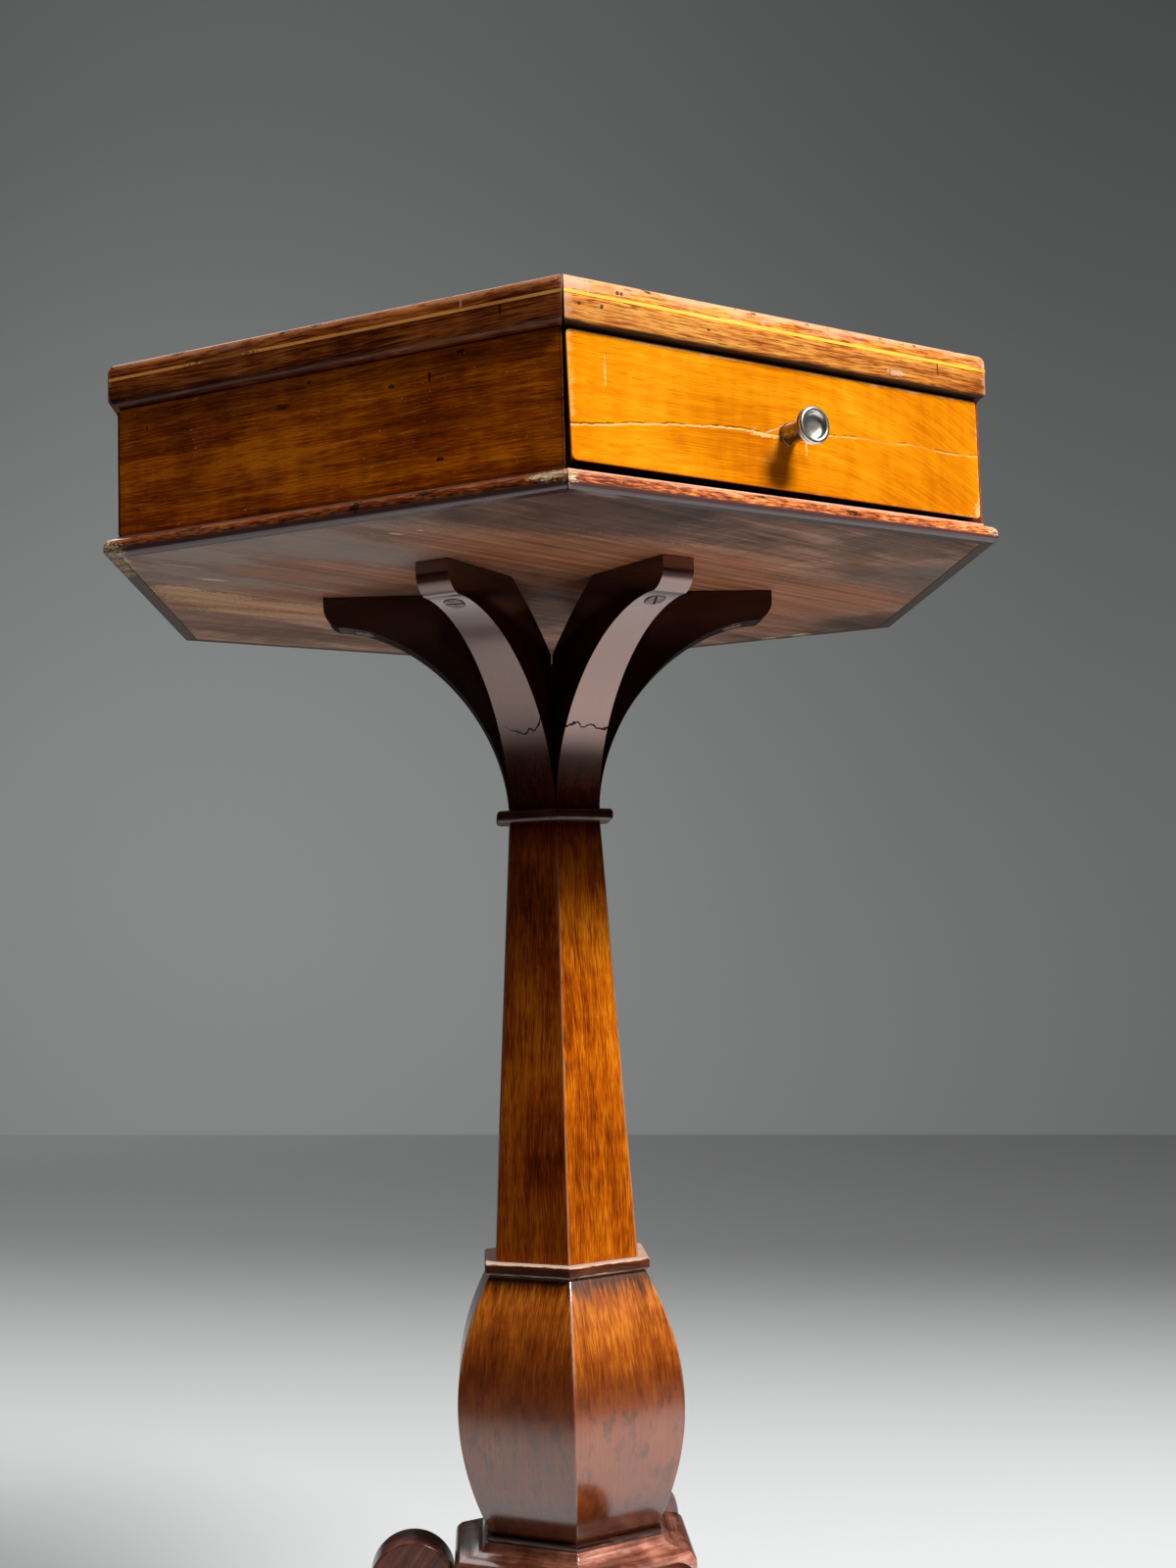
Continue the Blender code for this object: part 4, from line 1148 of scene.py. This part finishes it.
# column: collars, a tapered shaft, a six-sided bulb, a thin fillet and the moulded plinth
column = {
    "shaftTop": 0.0268, "shaftSteps": 44, "arrisRound": 0.0006,
    # painted light and shade down the two faces that show most, as distance from the top and tone: the right
    # face lit, the left in shade, and a painted shadow at the top of the shaft
    "shaftRight": [
        (0, -0.92), (0.016, -0.56), (0.055, -0.1), (0.08, 0.28), (0.12, 0.14), (0.15, -0.1), (0.17, -0.15)],
    "shaftLeft": [(0, -0.93), (0.018, -0.52), (0.06, -0.56), (0.08, -0.5), (0.13, -0.44), (0.17, -0.6)],
    "bulbRight": [(0.036, 0.0), (0.05, -0.42), (0.063, -0.42), (0.075, -0.35)],
    "bulbLeft": [(0.02, -0.12), (0.05, -0.62), (0.063, -0.62), (0.08, 0.3)],
    # tones of the faces behind
    "shaftBack": (0, -0.1, 0.1, -0.15), "bulbBack": (0, -0.1, 0.1, -0.1),
    # a collar's outline is the inset from its rim and the share of its height
    "upperCollar": [(0.0018, 0.0), (0.0006, 0.08), (0.0, 0.24), (0.0, 0.7), (0.0006, 0.9), (0.0018, 1.0)],
    "lowerCollar": [(0.0014, 0.0), (0.0004, 0.08), (0.0, 0.2), (0.0, 0.8), (0.0004, 0.92), (0.0014, 1.0)],
    "collarRound": 0.0009, "collarAngle": 45,
    "bulbTop": 0.0446, "bulbBottom": 0.0472, "bulbWide": 0.4943, "bulbSteps": 26,
    "neck": 0.051, "ogeeHeight": 0.0113, "ogeeSteps": 8, "chamfer": 0.006, "plinthRound": 0.001,
    # the plinth's right face is painted lighter and its left face painted in shade
    "plinthTones": (0.72, 0, 0, 0, 0, -0.45),
}


def hexPiece(node, slot, finish, rings, arris, angle=35, **marks):
    piece = hexRings(rings)
    easeEdges(piece, arris, angle=angle)
    markHex(piece, **marks)
    dress(piece, node, finish)


def makeCollar(node, outline, finish):
    low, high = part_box(node)
    rings = [(high.x - inset, low.z + (high.z - low.z) * share) for inset, share in outline]
    hexPiece(node, "collar_wood", finish, rings, column["collarRound"], column["collarAngle"])


def makeShaft():
    low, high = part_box("lower_collar")[1].z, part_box("upper_collar")[0].z
    foot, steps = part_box("shaft")[1].x, column["shaftSteps"]
    taper, rise = column["shaftTop"] - foot, high - low
    rings = [(foot + taper * (i / steps), low + rise * (i / steps)) for i in range(steps + 1)]
    tones = (column["shaftRight"], *column["shaftBack"], column["shaftLeft"])
    hexPiece("shaft", "column_veneer", "shaftVeneer", rings, column["arrisRound"], tones=tones, upright=True)


def makeBulb():
    low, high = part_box("foot_fillet")[1].z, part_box("lower_collar")[0].z
    wide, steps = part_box("bulb")[1].x, column["bulbSteps"]
    waist = low + (high - low) * column["bulbWide"]
    rings = []
    for i in range(-steps, steps + 1):
        share = i / steps
        end = column["bulbBottom"] if share < 0 else column["bulbTop"]
        height = waist - low if share < 0 else high - waist
        rings.append((wide - (wide - end) * share ** 2, waist + height * share))
    tones = (column["bulbRight"], *column["bulbBack"], column["bulbLeft"])
    hexPiece("bulb", "column_veneer", "bulbVeneer", rings, column["arrisRound"], tones=tones, upright=True)


def makeFillet():
    low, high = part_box("foot_fillet")
    rings = [(high.x, low.z), (high.x, high.z)]
    hexPiece("foot_fillet", "collar_wood", "darkCollar", rings, column["arrisRound"])


def makePlinth():
    low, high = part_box("plinth")
    lip, neck, steps = high.z - column["ogeeHeight"], column["neck"], column["ogeeSteps"]
    middle = ((high.x + neck) / 2, (high.z + lip) / 2)
    lower = sweepPoints(middle, (high.x, lip), steps)
    upper = sweepPoints(middle, (neck, high.z), steps)
    foot = [(high.x - column["chamfer"], low.z), (high.x, low.z + column["chamfer"])]
    rings = foot + lower[::-1] + upper[1:]
    hexPiece(
        "plinth", "plinth_wood", "plinthWood", rings, column["plinthRound"], tones=column["plinthTones"])


makeCollar("upper_collar", column["upperCollar"], "darkCollar")
makeCollar("lower_collar", column["lowerCollar"], "collarWood")
makeShaft()
makeBulb()
makeFillet()
makePlinth()
print("column done")

# legs: sawn scrolls under the plinth
leg = {
    "scroll": 0.0212, "scrollDrop": 0.0126, "scrollEnd": -50, "joint": 0.06, "toe": 0.015, "toeStart": 100,
    "sole": 0.014, "backFall": 0.42, "backRun": 0.58, "bellyFall": 0.4, "bellyRun": 0.34, "steps": 36,
    "edgeRound": 0.0016, "edgeSteps": 4, "seatGap": 0.0003, "grainOut": 0.6, "grainDown": 0.8,
    "grainStep": 0.9,
}


def legOutline(reach, lip, seat):
    steps = leg["steps"]
    scroll = (seat + leg["scroll"], lip - leg["scrollDrop"])
    jointLow = (seat, scroll[1] - leg["joint"])
    toe = (reach - leg["toe"], leg["toe"])
    upper = arcPoints(scroll, leg["scroll"], 180, leg["scrollEnd"], 2 * steps)
    toeArc = arcPoints(toe, leg["toe"], leg["toeStart"], -90, steps)
    sole = (toe[0] - leg["sole"], 0.0)
    span, fall = toe[0] - scroll[0], scroll[1] - toe[1]
    knee, instep = upper[-1], toeArc[0]
    back = curvePoints(
        knee, (knee[0], knee[1] - fall * leg["backFall"]),
        (instep[0] - span * leg["backRun"], instep[1]), instep, steps)
    belly = curvePoints(
        sole, (sole[0] - span * leg["bellyRun"], 0.0),
        (jointLow[0], jointLow[1] - fall * leg["bellyFall"]), jointLow, steps)
    return upper + back[1:] + toeArc[1:] + belly


def makeLegs():
    low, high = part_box("leg_1")
    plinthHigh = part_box("plinth")[1]
    lip = plinthHigh.z - column["ogeeHeight"]
    seat = plinthHigh.x * faceShare + leg["seatGap"]
    board = outlineBoard(legOutline(axis.y - low.y, lip, seat), (high.x - low.x) / 2)
    easeEdges(board, leg["edgeRound"], leg["edgeSteps"])
    for number, index in enumerate((0, 2, 4), start=1):
        twin = copyToFace(board, index)
        run = faceOut(index) * leg["grainOut"] - Vector((0, 0, leg["grainDown"]))
        markBoard(twin, run, faceAlong(index), number * leg["grainStep"])
        dress(twin, f"leg_{number}", "legPolish")
    discard(board)


makeLegs()
print("legs done")

# studio: a pale floor and a grey wall behind the table, with the light's fall-off painted into their greys
studio = {
    "away": 3.72, "heading": 40.82, "height": 4.5, "cornerRound": 0.6, "cornerSteps": 10, "smoothAngle": 40,
    # greys, right and left, and the distances between which they change: painted fall-off of the light
    "floorNear": 0.94, "floorMid": (0.225, 0.48), "floorFar": (0.23, 0.55), "wallLow": (0.345, 1.03),
    "wallHigh": (0.155, 0.56), "toLeft": (-0.8, 2.9), "toMid": (0.45, 2.1), "toFar": (2.3, 3.7),
    "toHigh": (0.0, 2.6), "wallStart": 0.25, "leftLater": -0.75, "skirting": (0.001, 0.006),
    "floorLit": 0.68, "floorGlow": 0.26, "floorBounce": 0.3, "wallBounce": 0.2, "wallGloss": 0.02,
    "pool": (0.35, 0.45, 0), "poolReach": (0.9, 1.6), "poolSide": (0.3, -0.1), "poolEnd": 0.06,
    "floorCast": (0.985, 1.0, 0.995, 1), "wallCast": (0.955, 1.0, 0.985, 1), "rough": 0.6,
}


def makeRoom():
    bpy.ops.object.select_all(action="DESELECT")
    bpy.ops.mesh.primitive_cube_add(
        size=1, location=(0, 0, studio["height"] / 2), rotation=(0, 0, math.radians(studio["heading"])),
        scale=(2 * studio["away"], 2 * studio["away"], studio["height"]))
    bpy.ops.object.transform_apply(location=True, rotation=True, scale=True)
    room = bpy.context.object
    room.name = "studio"
    openMesh(room)
    pickEdges(room, lambda a, b: abs(a.z - b.z) > 1)
    roundEdges(studio["cornerRound"], studio["cornerSteps"])
    bpy.ops.mesh.select_mode(type="FACE")
    bpy.ops.mesh.select_all(action="DESELECT")
    mesh = bmesh.from_edit_mesh(room.data)
    for face in mesh.faces:
        face.select_set(face.normal.z > 0.9)
    bmesh.update_edit_mesh(room.data)
    bpy.ops.mesh.delete(type="FACE")  # the room has no ceiling
    closeMesh(inside=True)
    selectOnly(room)
    bpy.ops.object.shade_smooth_by_angle(angle=math.radians(studio["smoothAngle"]))
    return room


def studioPaint():
    material, tree = newFinish("studioPaint")
    place = objectPlace(tree)
    height = splitOf(place)[2]
    turn = math.radians(studio["heading"])
    back = vectorWork("DOT_PRODUCT", place, (math.cos(turn), math.sin(turn), 0), "Value")
    left = vectorWork("DOT_PRODUCT", place, (-math.sin(turn), math.cos(turn), 0), "Value")
    leftShare = fade(left, *studio["toLeft"])

    def grey(key):
        right, farLeft = studio[key]
        return timesAdd(leftShare, farLeft - right, right)

    def grade(value, span, first, second):
        return timesAdd(fade(value, *studio[span]), minus(second, first), first)

    far = grade(back, "toFar", grey("floorMid"), grey("floorFar"))
    floor = grade(back, "toMid", studio["floorNear"], far)
    climb = work("ADD", height, studio["wallStart"])
    climb = timesAdd(leftShare, studio["leftLater"], climb)  # painted fall-off, which dims later on the left
    wall = grade(climb, "toHigh", grey("wallLow"), grey("wallHigh"))
    # the camera sees the paint, the wood mirrors the floor far more than the walls, and little light bounces
    rays = tree.nodes.new("ShaderNodeLightPath").outputs
    glossy = rays["Is Glossy Ray"]
    seen = larger(rays["Is Camera Ray"], rays["Is Transmission Ray"])

    def level(bounce, lit, gloss):
        return timesAdd(glossy, gloss, timesAdd(seen, lit - bounce, bounce))

    floorLevel = level(studio["floorBounce"], studio["floorLit"], 1 - studio["floorBounce"])
    wallLevel = level(studio["wallBounce"], 1, studio["wallGloss"] - studio["wallBounce"])
    # painted fall-off in reflections: the wood mirrors only a pool of the floor on the viewer's side
    away = vectorWork("DISTANCE", place, studio["pool"], "Value")
    past = times(fade(away, *studio["poolReach"]), fade(back, *studio["poolSide"]))
    past = times(past, glossy)
    floorLevel = times(floorLevel, timesAdd(past, studio["poolEnd"] - 1, 1.0))
    onWall = fade(height, *studio["skirting"])
    paint = blendColour(onWall, times(floor, floorLevel), times(wall, wallLevel))
    cast = blendColour(onWall, studio["floorCast"], studio["wallCast"])
    # for the camera a part of the floor's brightness is its own, which softens the table's shadow
    glow = times(times(floor, seen), minus(1.0, onWall))
    feedShader(tree, {
        "Base Color": blendColour(1.0, paint, cast, "MULTIPLY"), "Roughness": studio["rough"],
        "Emission Color": blendColour(1.0, glow, cast, "MULTIPLY"),
        "Emission Strength": studio["floorGlow"],
    })
    return material


room = makeRoom()
room.data.materials.clear()
room.data.materials.append(studioPaint())

# light: one soft key from the drawer's right, a weak fill from behind
lights = {
    "key": {"heading": -72, "rise": 44.5, "away": 3.0, "size": 0.83, "power": 148},
    "back": {"heading": 80, "rise": 35, "away": 2.6, "size": 1.6, "power": 14},
}
lightAim = Vector((0, 0, 0.55))
airColour = (0.022, 0.0225, 0.023, 1)


def directionOf(heading, rise):
    return Vector((math.cos(heading) * math.cos(rise), math.sin(heading) * math.cos(rise), math.sin(rise)))


for name, lamp in lights.items():
    bpy.ops.object.select_all(action="DESELECT")
    ray = directionOf(math.radians(lamp["heading"]), math.radians(lamp["rise"]))
    bpy.ops.object.light_add(type="AREA", location=lightAim + ray * lamp["away"])
    light = bpy.context.object
    light.name = name + "Light"
    light.rotation_euler = ray.to_track_quat("Z", "Y").to_euler()
    light.data.size = lamp["size"]
    light.data.energy = lamp["power"]
world = bpy.data.worlds.new("studioAir")
world.use_nodes = True
world.node_tree.nodes["Background"].inputs["Color"].default_value = airColour
bpy.context.scene.world = world

# camera: where the photograph was taken from
photoView = {
    "place": (-0.53168, -0.83784, 0.4643), "heading": 56.75, "tilt": 4.91, "roll": -1.59, "lens": 44.06,
    "sensor": 36,
}


def makeCamera():
    heading, tilt, roll = (math.radians(photoView[key]) for key in ("heading", "tilt", "roll"))
    ahead = directionOf(heading, tilt)
    right = Vector((math.sin(heading), -math.cos(heading), 0))
    up = right.cross(ahead)
    right, up = right * math.cos(roll) + up * math.sin(roll), up * math.cos(roll) - right * math.sin(roll)
    lens = bpy.data.cameras.new("photoLens")
    lens.lens = photoView["lens"]
    lens.sensor_width = photoView["sensor"]
    camera = bpy.data.objects.new("photoView", lens)
    bpy.context.scene.collection.objects.link(camera)
    facing = Matrix((right, up, -ahead)).transposed().to_4x4()
    camera.matrix_world = Matrix.Translation(photoView["place"]) @ facing
    bpy.context.scene.camera = camera


makeCamera()
bpy.context.scene.view_settings.view_transform = "Standard"
print("studio, lights and camera done")
